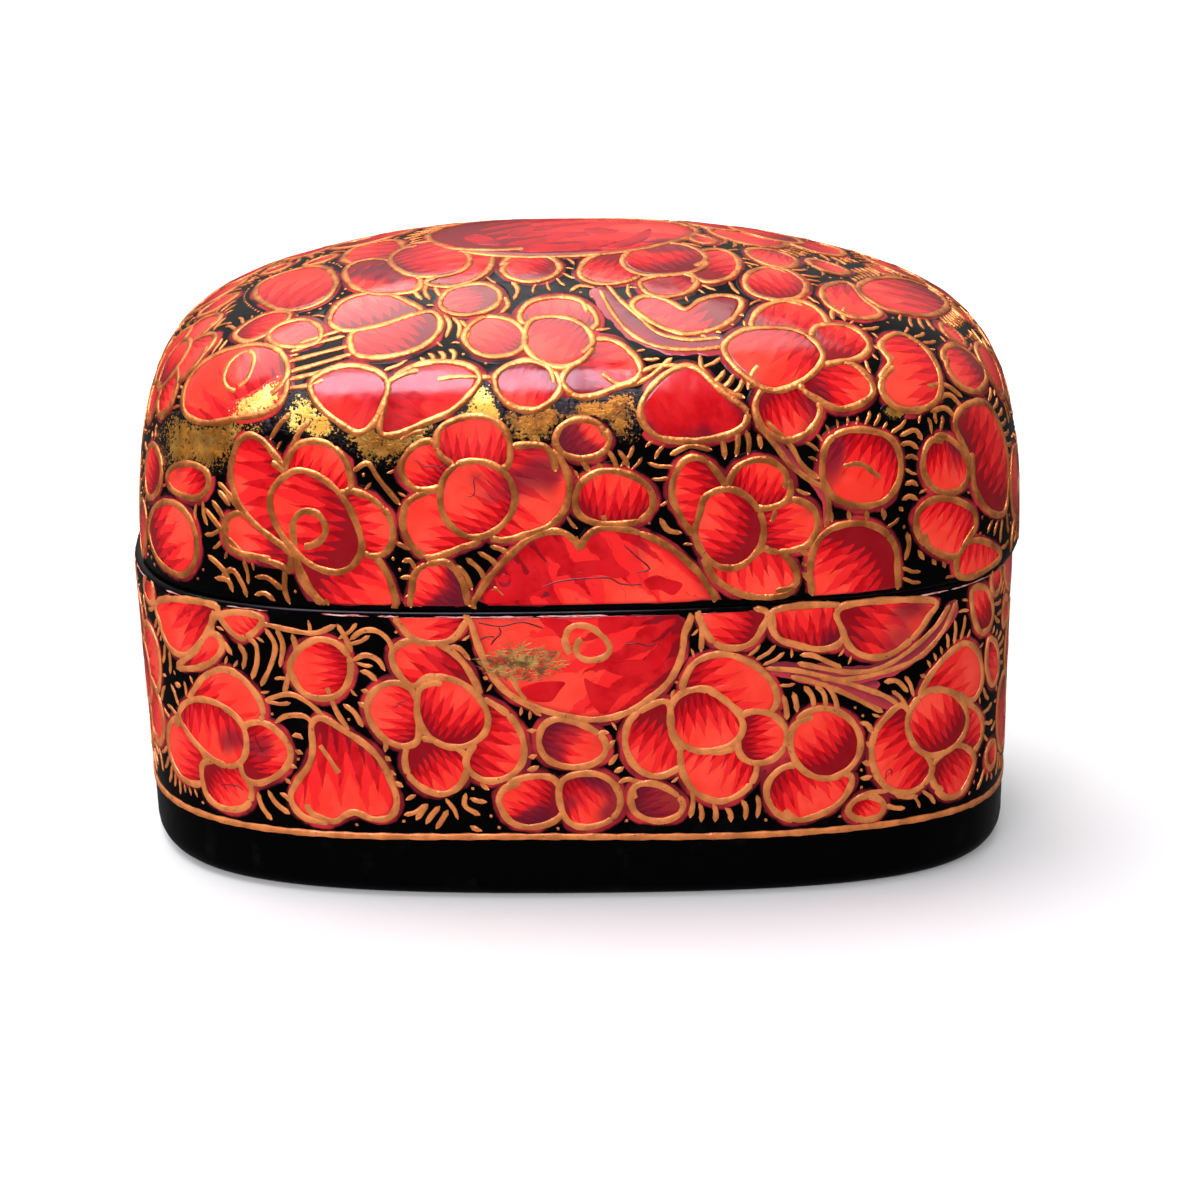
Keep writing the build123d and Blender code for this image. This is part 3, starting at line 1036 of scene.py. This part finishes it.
def scatter_spots(count):
    """Random points spread over both shells, with the shell that each is on."""
    wild = chance.random((count, 3)) * cloud_size + cloud_corner
    on_lid = above_cut(wild, "lid") > 0
    p = np.where(on_lid[:, None], press(wild, "lid"), press(wild, "base"))
    landed = np.abs(np.where(on_lid, lid_level(p), base_level(p))) < 0.001
    good = landed & (np.linalg.norm(p - wild, axis=1) < landing_reach)
    return p[good], np.where(on_lid[good], "lid", "base")


def seen_from_front(p, shell):
    """How squarely the surface faces the eye of the camera, 1 at most."""
    towards = eye - p
    towards /= np.linalg.norm(towards, axis=-1, keepdims=True)
    normal = np.where((shell == "lid")[:, None], outward(p, "lid"), outward(p, "base"))
    return np.sum(normal * towards, -1)


spots, shells = scatter_spots(9000)
room = np.full(len(spots), 99.0)
for petal in petals:
    room = np.minimum(room, np.linalg.norm(spots[:, None] - petal["edge"][None, ::2], axis=-1).min(1))
    room[within(petal, spots, 0.3)] = 0
room[seen_from_front(spots, shells) > seen_enough] = 0
rise = np.where(shells == "lid", above_cut(spots, "lid"), above_cut(spots, "base"))

no_end = 99
kinds = [
    (7.6, blossom, no_end), (6.2, blossom, no_end),
    (4.4, double_bud, 16), (4.2, heart_leaf, 8), (4.0, double_bud, no_end),
    (2.9, bud, no_end), (2.1, bud, no_end), (1.5, bud, no_end),
]
placed = 0
for size, motif, most in kinds:
    for _ in range(most):
        floor_room = np.where(shells == "base", spots[:, 2] - band_height - 0.6, 99)
        fits = (room > size + 0.3) & (rise > 0.35 * size) & (floor_room > size)
        if not fits.any():
            break
        best = np.flatnonzero(fits)[room[fits].argmin()]
        add_motif(motif(size), spots[best], shells[best])
        room = np.minimum(room, np.linalg.norm(spots - spots[best], axis=1) - size)
        placed += 1
print(placed, "motifs on the other sides,", len(petals), "petals in all")

# %% [markdown]
# ## Combs and dots
#
# The ground that is left gets rows of short gold ticks that stand off the petals like the
# teeth of a comb, or rows of dots. A tick is kept where neither petal nor line is near.

# %% Combs and dots
dotted_share, dot_width, tick_height = 0.3, 0.44, 0.08
tick_lengths = (2.1, 1.4, 0.8)
clear_of_cut, clear_of_paint, clear_of_ticks = 0.7, 0.55, 0.58


def comb_ticks():
    """Start, middle and end of every possible tick, and the petal that it stands on."""
    ticks, owners, sizes = [], [], []
    for number, petal in enumerate(petals):
        if not petal["drawn"]:
            continue
        edge = even(petal["line"], spacing=0.75 + 0.25 * petal["tone"], closed=True)
        ahead = np.roll(edge, -1, 0) - np.roll(edge, 1, 0)
        out = np.cross(ahead, petal["normal"])
        out /= np.maximum(np.linalg.norm(out, axis=1, keepdims=True), 1e-9)
        out *= np.sign(np.sum(out * (edge - petal["middle"]), 1))[:, None]
        ahead = ahead / np.maximum(np.linalg.norm(ahead, axis=1, keepdims=True), 1e-9)
        dots = chance.random() < dotted_share
        for length in (0.25,) if dots else tick_lengths:
            start = edge + out * (1.0 if dots else 0.45)
            lean = ahead * 0.35 * length
            half_way = start + out * length * 0.55 + lean * 0.8
            ticks.append(np.stack([start, half_way, start + out * length + lean], 1))
            owners.append(np.full(len(edge), number))
            sizes.append(np.full(len(edge), dot_width if dots else 0.22 + 0.08 * length))
    return np.vstack(ticks), np.concatenate(owners), np.concatenate(sizes)


def nearest(tree, p):
    """Distance from each point to the nearest of the points in a tree."""
    return np.array([tree.find(point)[2] for point in p.tolist()])


def lay_combs():
    """Keeps the ticks that fall on open ground, and lays them as gold lines."""
    ticks, owners, widths = comb_ticks()
    bodies = np.array([petals[k]["body"] for k in owners])
    free = np.ones(len(ticks), bool)
    for body in levels:
        mine = bodies == body
        landed = press(ticks[mine], body)
        ticks[mine] = landed
        clear = (above_cut(landed, body) > clear_of_cut).all(1)
        if body == "base":
            clear &= (landed[..., 2] > band_height + clear_of_cut).all(1)
        for petal in petals + rubs:
            if petal["body"] == body:
                clear &= ~within(petal, landed[:, 1:], clear_of_paint if petal["drawn"] else 0.0).any(1)
        drawn = np.vstack([line["path"] for line in lines if line["body"] == body])
        tree = KDTree(len(drawn))
        for k, point in enumerate(drawn.tolist()):
            tree.insert(point, k)
        tree.balance()
        rows = np.flatnonzero(clear)
        gap = np.minimum(nearest(tree, landed[rows, 1]), nearest(tree, landed[rows, 2]))
        clear[rows] = gap > clear_of_paint
        free[mine] = clear
    kept = 0
    taken = np.zeros((0, 3))
    for k in np.flatnonzero(free):
        points = ticks[k]
        if len(taken) and np.linalg.norm(taken[:, None] - points[None], axis=-1).min() < clear_of_ticks:
            continue
        taken = np.vstack([taken, points])
        path = even(points, spacing=0.3)
        keep_line(path, str(bodies[k]), widths[k], tick_height, "gold")
        kept += 1
    print(kept, "ticks and dots")


# %% [markdown]
# ## The gold band round the foot
#
# One gold line goes all the way round the base, some six millimetres up. Below it the foot
# stays plain black.

# %% Gold band
round_angle = np.linspace(0, 2 * math.pi, 400)
wander = 0.12 * np.sin(3 * round_angle) + 0.08 * np.sin(7 * round_angle + 1)
band = np.stack([30 * np.cos(round_angle), 20 * np.sin(round_angle), band_height + wander], -1)
add_line(press(band, "base"), "base", 0.62, height=0.13)
lay_combs()


# %% [markdown]
# ## Turning petals and lines into meshes
#
# All petals of a shell become one mesh, and all its gold another, so that the model has few
# pieces. Each petal point carries how far it is along the stroke, where in the fan it is,
# and how near the edge, and the paint reads these.

# %% Petal meshes
ring_shares = np.array([0.25, 0.5, 0.72, 0.88, 0.96, 1.0])
ring_lifts = np.array([1, 1, 1, 0.95, 0.8, -1.2])           # the last ring goes into the shell


def petal_rings(petal, grow=0.0, lift=0.05):
    """Rings from the middle of a petal to its outline, pressed to the shell and raised."""
    edge = petal["edge"] - petal["middle"]
    reach = np.linalg.norm(edge, axis=1, keepdims=True)
    spread = edge * (1 + grow / np.maximum(reach, 0.3))
    points = petal["middle"] + spread[None] * ring_shares[:, None, None]
    points = press(points, petal["body"])
    if grow:
        low = above_cut(points, petal["body"]) < 0.4
        ungrown = petal["middle"] + edge[None] * ring_shares[:, None, None] * 0.97
        points = np.where(low[..., None], press(ungrown, petal["body"]), points)
    return points + outward(points, petal["body"]) * (lift * ring_lifts[:, None, None])


def petal_mesh(petal, grow=0.0, lift=0.05):
    """Points, faces and brush values of one closed pillow of paint.

    The values are along, fan and near for a petal. A halo, which has grown past its petal,
    has 0 at the petal's edge and 1 at its own in place of near.
    """
    rings = petal_rings(petal, grow, lift)
    top = petal["middle"] + petal["normal"] * lift
    below = petal["middle"] - petal["normal"] * 0.4
    points = np.vstack([rings.reshape(-1, 3), top, below])
    count = len(ring_shares)
    first_fan, last_fan = end_fans(count, ring_steps)
    faces = grid_faces(count, ring_steps).tolist() + first_fan.tolist() + last_fan.tolist()
    edge = petal["edge"] - petal["middle"]
    flat = np.stack([edge @ side for side in petal["sides"]], -1)
    signed = np.sum(flat[:, 0] * np.roll(flat[:, 1], -1) - np.roll(flat[:, 0], -1) * flat[:, 1])
    if signed < 0:
        faces = [face[::-1] for face in faces]
    values = brush_values(petal, points)
    if grow:
        outer = np.r_[ring_shares.repeat(ring_steps), 0, 0]
        reach = np.r_[np.tile(np.linalg.norm(edge, axis=1), count), 1, 1]
        values[:, 2] = np.clip((outer * (reach + grow) - reach) / grow, 0, 1)
    return points, faces, values


def brush_values(petal, points):
    """Along the stroke from the root side, place across the fan, and nearness to the edge.

    The strokes start from the side that faces the flower's heart, more or less. Along runs
    from 0 there to 1 at the tip and is less towards both sides, so that a stroke of equal
    length everywhere leaves a crescent. Across spreads a little towards the tip.
    """
    to_heart = petal["heart"] - petal["middle"]
    aim = np.array([to_heart @ side for side in petal["sides"]])
    if np.linalg.norm(aim) < 0.5:
        spin = petal["tone"] * 2 * math.pi
        aim = np.array([math.cos(spin), math.sin(spin)])
    lean = 1.8 * (petal["tone"] - 0.5)
    aim = np.array([[math.cos(lean), -math.sin(lean)], [math.sin(lean), math.cos(lean)]]) @ aim
    aim = aim / np.linalg.norm(aim)
    reach = petal["reach"].max()
    flat = np.stack([(points - petal["middle"]) @ side for side in petal["sides"]], -1)
    across = flat @ np.array([-aim[1], aim[0]]) / reach
    along = 0.5 - 0.5 * (flat @ aim) / reach - 0.3 * across ** 2
    fan = across / (1.1 + 0.9 * along)
    angle = np.arctan2(flat[:, 1], flat[:, 0])
    edge_reach = np.interp(angle, petal["angle"], petal["reach"], period=2 * math.pi)
    near = np.clip(np.hypot(*flat.T) / np.maximum(edge_reach, 0.1), 0, 1.2)
    return np.stack([along, fan + 10 * petal["tone"], near], -1)


def merge(parts):
    """Joins meshes given as (points, faces, values) into one."""
    points, faces, values, first = [], [], [], 0
    for p, f, v in parts:
        points.append(p)
        faces += [[first + i for i in face] for face in f]
        values.append(v)
        first += len(p)
    return np.vstack(points), faces, np.vstack(values)


# %% [markdown]
# Gold paint stands proud of the rest as a low ridge. Its section is five points wide, and
# its ends are drawn in so that they look round, as the end of a brush stroke does.

# %% Gold ridges
section_side = np.array([-0.5, -0.43, 0.0, 0.43, 0.5])
section_rise = np.array([-0.25, 0.9, 1.0, 0.9, -0.25])


def ridge_mesh(line):
    """A ridge along a path, with a nearly flat top, tapered over half a width at its ends.

    Its width wavers a little along the stroke. The values are the distance along the line, a
    number of its own, and the place across it.
    """
    path, body, width = line["path"], line["body"], line["width"]
    along = np.r_[0, np.cumsum(np.linalg.norm(np.diff(path, axis=0), axis=1))]
    half = width / 2
    inset = np.minimum(along, along[-1] - along)
    taper = np.sqrt(np.clip(1 - (1 - np.clip(inset / half, 0, 1)) ** 2, 0.05, 1))
    wobble = 1 + 0.1 * np.sin(along * 1.7 + path[0, 0]) + 0.06 * np.sin(along * 4.1 + path[0, 2])
    normal = outward(path, body)
    ahead = np.gradient(path, axis=0)
    side = np.cross(normal, ahead)
    side /= np.maximum(np.linalg.norm(side, axis=1, keepdims=True), 1e-9)
    reach = (width * taper * wobble)[:, None, None] * section_side[None, :, None]
    points = press(path[:, None] + side[:, None] * reach, body)
    rise = (line["height"] * taper)[:, None, None] * section_rise[None, :, None]
    points = points + outward(points, body) * rise
    rows, count = len(path), len(section_side)
    faces = grid_faces(rows, count).tolist()
    faces += [list(range(count)), list(range((rows - 1) * count, rows * count))[::-1]]
    values = np.stack([along, np.full(rows, path[0, 0]), np.zeros(rows)], -1).repeat(count, 0)
    values[:, 2] = np.tile(section_side, rows)
    return points.reshape(-1, 3), [face[::-1] for face in faces], values


halo_reach = 0.9            # how far the mauve bleeds out past a petal
halo_lift, rub_lift, high_rub_lift = 0.022, 0.034, 0.095
petal_lift, rank_lift = 0.045, 0.012        # a petal further in front is raised a little more


def petal_piece(name, shown, lifts, body, grow=0.0):
    """One piece from petals, halos or patches, with the values that its finish reads."""
    parts = [petal_mesh(petal, grow, lift) for petal, lift in zip(shown, lifts)]
    points, faces, brush = merge(parts)
    own = [(petal["tone"], petal["shade"], petal["dusk"]) for petal in shown]
    tone = np.repeat(own, [len(part[0]) for part in parts], axis=0)
    return make_piece(f"{body}_{name}", points, faces, body, {"brush": brush, "tone": tone})


def line_piece(kind, body):
    """One piece from all lines of a kind. Only the two faces along the top are smooth."""
    own = [line for line in lines if line["body"] == body and line["kind"] == kind]
    points, faces, brush = merge([ridge_mesh(line) for line in own])
    middle = len(section_side) // 2
    on_top = [len(face) == 4 and any(i % len(section_side) == middle for i in face) for face in faces]
    return make_piece(f"{body}_{kind}", points, faces, body, {"brush": brush}, np.array(on_top))


def paint_pieces(body):
    """The halo, petals, rubbed patches and lines of one shell, by name."""
    own = [petal for petal in petals if petal["body"] == body]
    drawn = [petal for petal in own if petal["drawn"]]
    worn = [patch for patch in rubs if patch["body"] == body]
    made = {"halo": petal_piece("halo", drawn, [halo_lift] * len(drawn), body, halo_reach)}
    lifts = [petal_lift + rank_lift * petal["rank"] for petal in own]
    made["petals"] = petal_piece("petals", own, lifts, body)
    rub_lifts = [high_rub_lift if patch["dusk"] > 0.9 else rub_lift for patch in worn]
    made["rub"] = petal_piece("rub", worn, rub_lifts, body)
    for kind in sorted({line["kind"] for line in lines if line["body"] == body}):
        made[kind] = line_piece(kind, body)
    return made


lid_paint = paint_pieces("lid")
base_paint = paint_pieces("base")

# %% [markdown]
# ## Finishes
#
# The box has a black lacquer, coral petals, the mauve that bleeds out round them, mauve
# stems, gold paint, rubbed gold, and three plain finishes for scuffs, for the rim's chips
# with their painted highlight, and for cracks. A finish is a tree of small nodes, each of
# which takes numbers or other nodes' results. The helpers below add one node each, so that
# a finish reads like a sum.


# %% Node helpers
def put(socket, value):
    """Joins a node's result to a socket, or sets the socket to a plain value."""
    if isinstance(value, bpy.types.NodeSocket):
        socket.id_data.links.new(value, socket)
    else:
        socket.default_value = value


def new_node(tree, kind, inputs=(), **settings):
    """A shader node with its settings, and its inputs filled by name."""
    node = tree.nodes.new("ShaderNode" + kind)
    for key, value in settings.items():
        setattr(node, key, value)
    for key, value in dict(inputs).items():
        put(node.inputs[key], value)
    return node


def calculate(operation, *values):
    """A sum of one or two values, in the tree of whichever of them is a node's result."""
    tree = next(value.id_data for value in values if isinstance(value, bpy.types.NodeSocket))
    node = new_node(tree, "Math", operation=operation)
    for socket, value in zip(node.inputs, values):
        put(socket, value)
    return node.outputs[0]


def plus(a, b):
    """a + b"""
    return calculate("ADD", a, b)


def minus(a, b):
    """a - b"""
    return calculate("SUBTRACT", a, b)


def times(a, b):
    """a b"""
    return calculate("MULTIPLY", a, b)


def blend(share, a, b):
    """The colour a where share is 0 and b where it is 1."""
    node = new_node(share.id_data, "Mix", {0: share, 6: a, 7: b}, data_type="RGBA")
    return node.outputs[2]


def ramp(value, low, high, start=0.0, end=1.0):
    """start below low and end above high, with a soft S between."""
    node = new_node(value.id_data, "MapRange", interpolation_type="SMOOTHSTEP")
    for socket, given in zip(node.inputs, (value, low, high, start, end)):
        put(socket, given)
    return node.outputs[0]


def grain(shader, scale, detail=3.0, rough=0.55):
    """Noise in the object's own space, about 0.3 to 0.7, with scale grains a metre."""
    tree = shader.id_data
    place = new_node(tree, "TexCoord").outputs["Object"]
    inputs = {"Vector": place, "Scale": scale, "Detail": detail, "Roughness": rough}
    return new_node(tree, "TexNoise", inputs).outputs[0]


def bump(shader, height, distance, strength):
    """Small relief from a height of 0 to 1, up to distance metres high."""
    inputs = {"Height": height, "Distance": distance, "Strength": strength}
    put(shader.inputs["Normal"], new_node(shader.id_data, "Bump", inputs).outputs[0])


def mesh_values(shader, name):
    """The three numbers that each point of a piece carries under a name."""
    stored = new_node(shader.id_data, "Attribute", attribute_name=name).outputs["Vector"]
    return new_node(shader.id_data, "SeparateXYZ", {"Vector": stored}).outputs


def start_finish(name):
    """A new material and its shader node."""
    material = bpy.data.materials.new(name)
    material.use_nodes = True
    return material, material.node_tree.nodes["Principled BSDF"]


def paint_colour(r, g, b):
    """A colour as seen on screen, 0 to 255, turned into light."""
    c = np.array([r, g, b]) / 255
    c = np.where(c <= 0.04045, c / 12.92, ((c + 0.055) / 1.055) ** 2.4)
    return (*map(float, c), 1.0)


# %% Black lacquer
near_black = (0.002, 0.0015, 0.002, 1)      # the ground, where it shows through mauve or gold


def lacquer_finish():
    """Deep black with a soft unevenness below the varnish and fine dust scratches."""
    material, shader = start_finish("black_lacquer")
    cloud = grain(shader, 300, 4)
    dust = blend(ramp(cloud, 0.55, 0.75), (0.0012, 0.0011, 0.0013, 1), (0.004, 0.0035, 0.004, 1))
    put(shader.inputs["Base Color"], dust)
    put(shader.inputs["Roughness"], ramp(grain(shader, 900, 3), 0.3, 0.75, 0.12, 0.26))
    shader.inputs["IOR"].default_value = 1.16
    bump(shader, grain(shader, 110, 2), 0.0005, 0.2)
    return material


# %% Petal paint
def petal_finish():
    """Coral with feathered deep red strokes from the root, and a mauve smudge here and there."""
    material, shader = start_finish("coral_petals")
    along, fan, near = mesh_values(shader, "brush")
    tone, shade, dusk = mesh_values(shader, "tone")
    stir = grain(shader, 700, 3)
    mottle = ramp(grain(shader, 260, 3), 0.35, 0.7)
    coral = blend(mottle, paint_colour(230, 50, 36), paint_colour(242, 70, 54))
    deep = blend(ramp(stir, 0.35, 0.65), paint_colour(172, 6, 16), paint_colour(200, 12, 22))
    colour = coral
    for strokes, span, start, paint, seed in (
        (4.3, 0.3, 0.3, paint_colour(226, 30, 32), 0.37),
        (5.4, 0.3, 0.14, deep, 0.0),
        (7.1, 0.2, -0.02, paint_colour(128, 8, 20), 0.61),
    ):
        bent = plus(times(fan, strokes), times(stir, 0.5))
        teeth = calculate("FRACT", plus(bent, plus(times(tone, 9.0), seed)))
        spike = calculate("POWER", calculate("ABSOLUTE", minus(times(teeth, 2.0), 1.0)), 1.5)
        reach = plus(times(spike, span), times(grain(shader, 190, 2), 0.3))
        reach = plus(reach, plus(times(minus(tone, 0.5), 0.3), start))
        feather = ramp(minus(along, reach), 0.0, 0.035, 1.0, 0.0)
        colour = blend(times(feather, 0.95), colour, paint)
    colour = blend(shade, colour, blend(ramp(along, 0.2, 0.75), deep, paint_colour(200, 14, 24)))
    hair = ramp(calculate("FRACT", plus(times(fan, 9.0), times(stir, 1.5))), 0.07, 0.0)
    hair = times(hair, ramp(grain(shader, 350, 2), 0.48, 0.6, 0.0, 0.6))
    colour = blend(hair, colour, paint_colour(140, 6, 12))
    root_side = ramp(along, 0.25, 0.7, 0.24, 0.05)
    cloud = plus(grain(shader, 105, 2), times(dusk, root_side))
    colour = blend(ramp(cloud, 0.6, 0.72, 0.0, 0.75), colour, paint_colour(78, 22, 38))
    rimmed = ramp(near, 0.86, 0.99, 0.0, 0.6)
    colour = blend(rimmed, colour, paint_colour(128, 14, 26))
    put(shader.inputs["Base Color"], colour)
    put(shader.inputs["Roughness"], ramp(stir, 0.3, 0.7, 0.12, 0.24))
    shader.inputs["IOR"].default_value = 1.36
    bump(shader, grain(shader, 240, 3), 0.0004, 0.18)
    return material


# %% Halo, stem and gold
def halo_finish():
    """Thin mauve that bleeds out from the petals onto the black, with a ragged edge."""
    material, shader = start_finish("mauve_bleed")
    near = mesh_values(shader, "brush")[2]
    ragged = plus(near, times(minus(grain(shader, 330, 3), 0.5), 1.6))
    fade = ramp(ragged, 0.45, 0.85)
    mottle = ramp(grain(shader, 300, 2), 0.4, 0.65)
    mauve = blend(mottle, paint_colour(116, 24, 36), paint_colour(184, 44, 50))
    put(shader.inputs["Base Color"], blend(fade, mauve, near_black))
    put(shader.inputs["Roughness"], ramp(grain(shader, 700, 2), 0.3, 0.7, 0.14, 0.28))
    shader.inputs["IOR"].default_value = 1.18
    bump(shader, grain(shader, 240, 3), 0.0004, 0.15)
    return material


def stem_finish():
    """The mauve pink of the stems, darker along one side."""
    material, shader = start_finish("mauve_stem")
    across = mesh_values(shader, "brush")[2]
    side = ramp(plus(across, times(grain(shader, 300, 2), 0.6)), -0.2, 0.7)
    put(shader.inputs["Base Color"], blend(side, paint_colour(172, 50, 58), paint_colour(112, 34, 48)))
    put(shader.inputs["Roughness"], ramp(grain(shader, 700, 2), 0.3, 0.7, 0.14, 0.28))
    shader.inputs["IOR"].default_value = 1.34
    bump(shader, grain(shader, 240, 3), 0.0004, 0.15)
    return material


def gold_finish(name, metallic, dull, lively):
    """Bronze powder paint: warm, a little grainy, with dark pits where it has worn."""
    material, shader = start_finish(name)
    fine = grain(shader, 2600, 3)
    tone = blend(ramp(grain(shader, 520, 4), 0.35, 0.65), dull, lively)
    pits = ramp(fine, 0.64, 0.74, 0.0, 0.8)
    put(shader.inputs["Base Color"], blend(pits, tone, paint_colour(84, 46, 18)))
    put(shader.inputs["Roughness"], ramp(fine, 0.3, 0.7, 0.28, 0.44))
    shader.inputs["Metallic"].default_value = metallic
    bump(shader, fine, 0.0003, 0.3)
    return material


# %% Wear finishes
def rub_finish():
    """Rubbed gold that lets black, or red, show through as ragged speckles."""
    material, shader = start_finish("rubbed_gold")
    near = mesh_values(shader, "brush")[2]
    _, density, over_red = mesh_values(shader, "tone")
    fine = plus(times(grain(shader, 3800, 3, 0.7), 0.5), times(grain(shader, 1300, 4, 0.7), 0.3))
    speckle = plus(fine, times(grain(shader, 420, 3, 0.6), 0.2))
    thin = ramp(near, 0.3, 1.0, 0.0, 0.16)
    open_share = minus(times(minus(density, 0.5), 0.2), thin)
    mask = ramp(plus(speckle, open_share), 0.485, 0.525)
    mottle = ramp(grain(shader, 700, 4), 0.35, 0.7)
    brown = blend(mottle, paint_colour(116, 66, 18), paint_colour(190, 122, 42))
    mottle = ramp(grain(shader, 500, 3), 0.35, 0.65)
    yellow = blend(mottle, paint_colour(226, 160, 58), paint_colour(252, 218, 118))
    bright = blend(ramp(plus(over_red, times(grain(shader, 300, 3), 0.4)), 0.2, 0.8), brown, yellow)
    under = blend(ramp(over_red, 0.6, 0.9), near_black, paint_colour(206, 40, 38))
    put(shader.inputs["Base Color"], blend(mask, under, bright))
    put(shader.inputs["Metallic"], times(mask, 0.5))
    put(shader.inputs["Roughness"], ramp(mask, 0.0, 1.0, 0.16, 0.34))
    shader.inputs["IOR"].default_value = 1.3
    bump(shader, speckle, 0.0004, 0.5)
    return material


def line_finish(name, first, second, rough, metallic=0.0):
    """A thin line whose colour wavers between two."""
    material, shader = start_finish(name)
    put(shader.inputs["Base Color"], blend(ramp(grain(shader, 1200, 3), 0.38, 0.62), first, second))
    put(shader.inputs["Roughness"], ramp(grain(shader, 900, 2), 0.3, 0.7, rough, rough + 0.15))
    shader.inputs["Metallic"].default_value = metallic
    return material


# %% Give every piece its finish
finishes = {
    "petals": petal_finish(),
    "halo": halo_finish(),
    "stem": stem_finish(),
    "rub": rub_finish(),
    "scuff": line_finish("scuffed_olive", paint_colour(104, 74, 26), paint_colour(180, 140, 70), 0.35, 0.3),
    # Light red to near white: chips on the sawn rim, and a painted highlight along it.
    "chip": line_finish("rim_wear_and_painted_highlight", paint_colour(190, 84, 76), paint_colour(222, 176, 168), 0.3),
    "crack": line_finish("fine_cracks", paint_colour(60, 8, 14), paint_colour(120, 10, 18), 0.3),
}
# The same gold paint, made as two copies. The lid's is more metallic and mirrors the bright room above. The
# base's is less metallic, with its colours set so that it looks lit where it would mirror only the dark
# floor. That difference is painted light.
golds = {
    "lid": gold_finish("gold_on_lid", 0.62, paint_colour(176, 98, 44), paint_colour(246, 146, 76)),
    "base": gold_finish("gold_on_base", 0.25, paint_colour(192, 110, 54), paint_colour(236, 140, 76)),
}
black = lacquer_finish()
for piece in (lid, base):
    piece.data.materials.append(black)
for shell, paint in (("lid", lid_paint), ("base", base_paint)):
    for kind, piece in paint.items():
        piece.data.materials.append(golds[shell] if kind == "gold" else finishes[kind])
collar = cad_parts["inner_collar"]
collar.data.materials.clear()
collar.data.materials.append(black)

# %% [markdown]
# ## Floor, light and background
#
# A white table and a white room. One soft panel lights the box from above and a little from
# the left, and a weaker one fills its front. A third lamp, like a window, is only mirrored:
# it makes the bright band where the dome turns over its shoulder.


# %% Floor
floor_white = 0.74          # under the lamps below this shows as plain white


def white_floor():
    """A wide white floor. Far from the box it shines by itself, where the lamps don't reach."""
    mesh = bpy.data.meshes.new("floor")
    size = 6.0
    corners = [(-size, -size, 0), (size, -size, 0), (size, size, 0), (-size, size, 0)]
    mesh.from_pydata(corners, [], [(0, 1, 2, 3)])
    floor_piece = bpy.data.objects.new("floor", mesh)
    bpy.context.collection.objects.link(floor_piece)
    material, shader = start_finish("white_table")
    mottled = ramp(grain(shader, 14, 4), 0.3, 0.7)
    plain = (floor_white, floor_white, floor_white * 1.02, 1)
    greyer = (floor_white * 0.96, floor_white * 0.96, floor_white, 1)
    put(shader.inputs["Base Color"], blend(mottled, plain, greyer))
    shader.inputs["Roughness"].default_value = 0.6
    shader.inputs["Emission Color"].default_value = (1, 1, 1, 1)
    tree = material.node_tree
    place = new_node(tree, "TexCoord").outputs["Object"]
    away = new_node(tree, "VectorMath", {0: place}, operation="LENGTH")
    far = ramp(away.outputs["Value"], 0.08, 0.5, 0.16, 0.9)
    seen = new_node(tree, "LightPath").outputs["Is Camera Ray"]
    put(shader.inputs["Emission Strength"], times(far, seen))
    mesh.materials.append(material)
    floor_piece.visible_glossy = False


white_floor()


# %% Light
def white_room():
    """The world: white to the camera, and an even 0.4 to plain surfaces.

    What the gloss mirrors is brightest above and behind, and nearly dark in front.
    """
    world = bpy.data.worlds.new("room")
    bpy.context.scene.world = world
    world.use_nodes = True
    tree = world.node_tree
    light = tree.nodes["Background"]
    light.inputs["Color"].default_value = (1, 1, 1, 1)
    path = new_node(tree, "LightPath").outputs
    way = new_node(tree, "SeparateXYZ", {0: new_node(tree, "TexCoord").outputs["Generated"]}).outputs
    behind = ramp(way[1], -0.5, -0.05, 0.12, 1.0)
    above = ramp(way[2], -0.1, 0.5, 0.08, 0.55)
    mirrored = times(path["Is Glossy Ray"], times(behind, above))
    plain = times(minus(1.0, path["Is Glossy Ray"]), 0.4)
    put(light.inputs["Strength"], calculate("MAXIMUM", plus(mirrored, plain), path["Is Camera Ray"]))


def lamp(name, place, aim, size, power, mirrored=True):
    """A lamp of a given width and height at a place in metres, turned towards a point."""
    data = bpy.data.lights.new(name, "AREA")
    data.shape = "RECTANGLE"
    data.size, data.size_y = size
    data.energy = power
    item = bpy.data.objects.new(name, data)
    bpy.context.collection.objects.link(item)
    item.location = place
    item.rotation_euler = (Vector(aim) - Vector(place)).to_track_quat("-Z", "Y").to_euler()
    item.visible_glossy = mirrored
    return item


white_room()
lamp("sky_panel", (-0.17, 0.15, 0.62), (0, 0, 0.03), (0.7, 0.6), 6.4)
lamp("front_fill", (-0.25, -0.9, 0.4), (0, 0, 0.03), (0.5, 0.5), 6.0, mirrored=False)
window = lamp("window", (-0.22, -0.33, 0.645), (-0.22, -0.3299, 0), (0.52, 0.32), 11.0)
window.visible_diffuse = False
window.data.color = (0.92, 0.8, 1.0)
bpy.context.scene.view_settings.view_transform = "Standard"
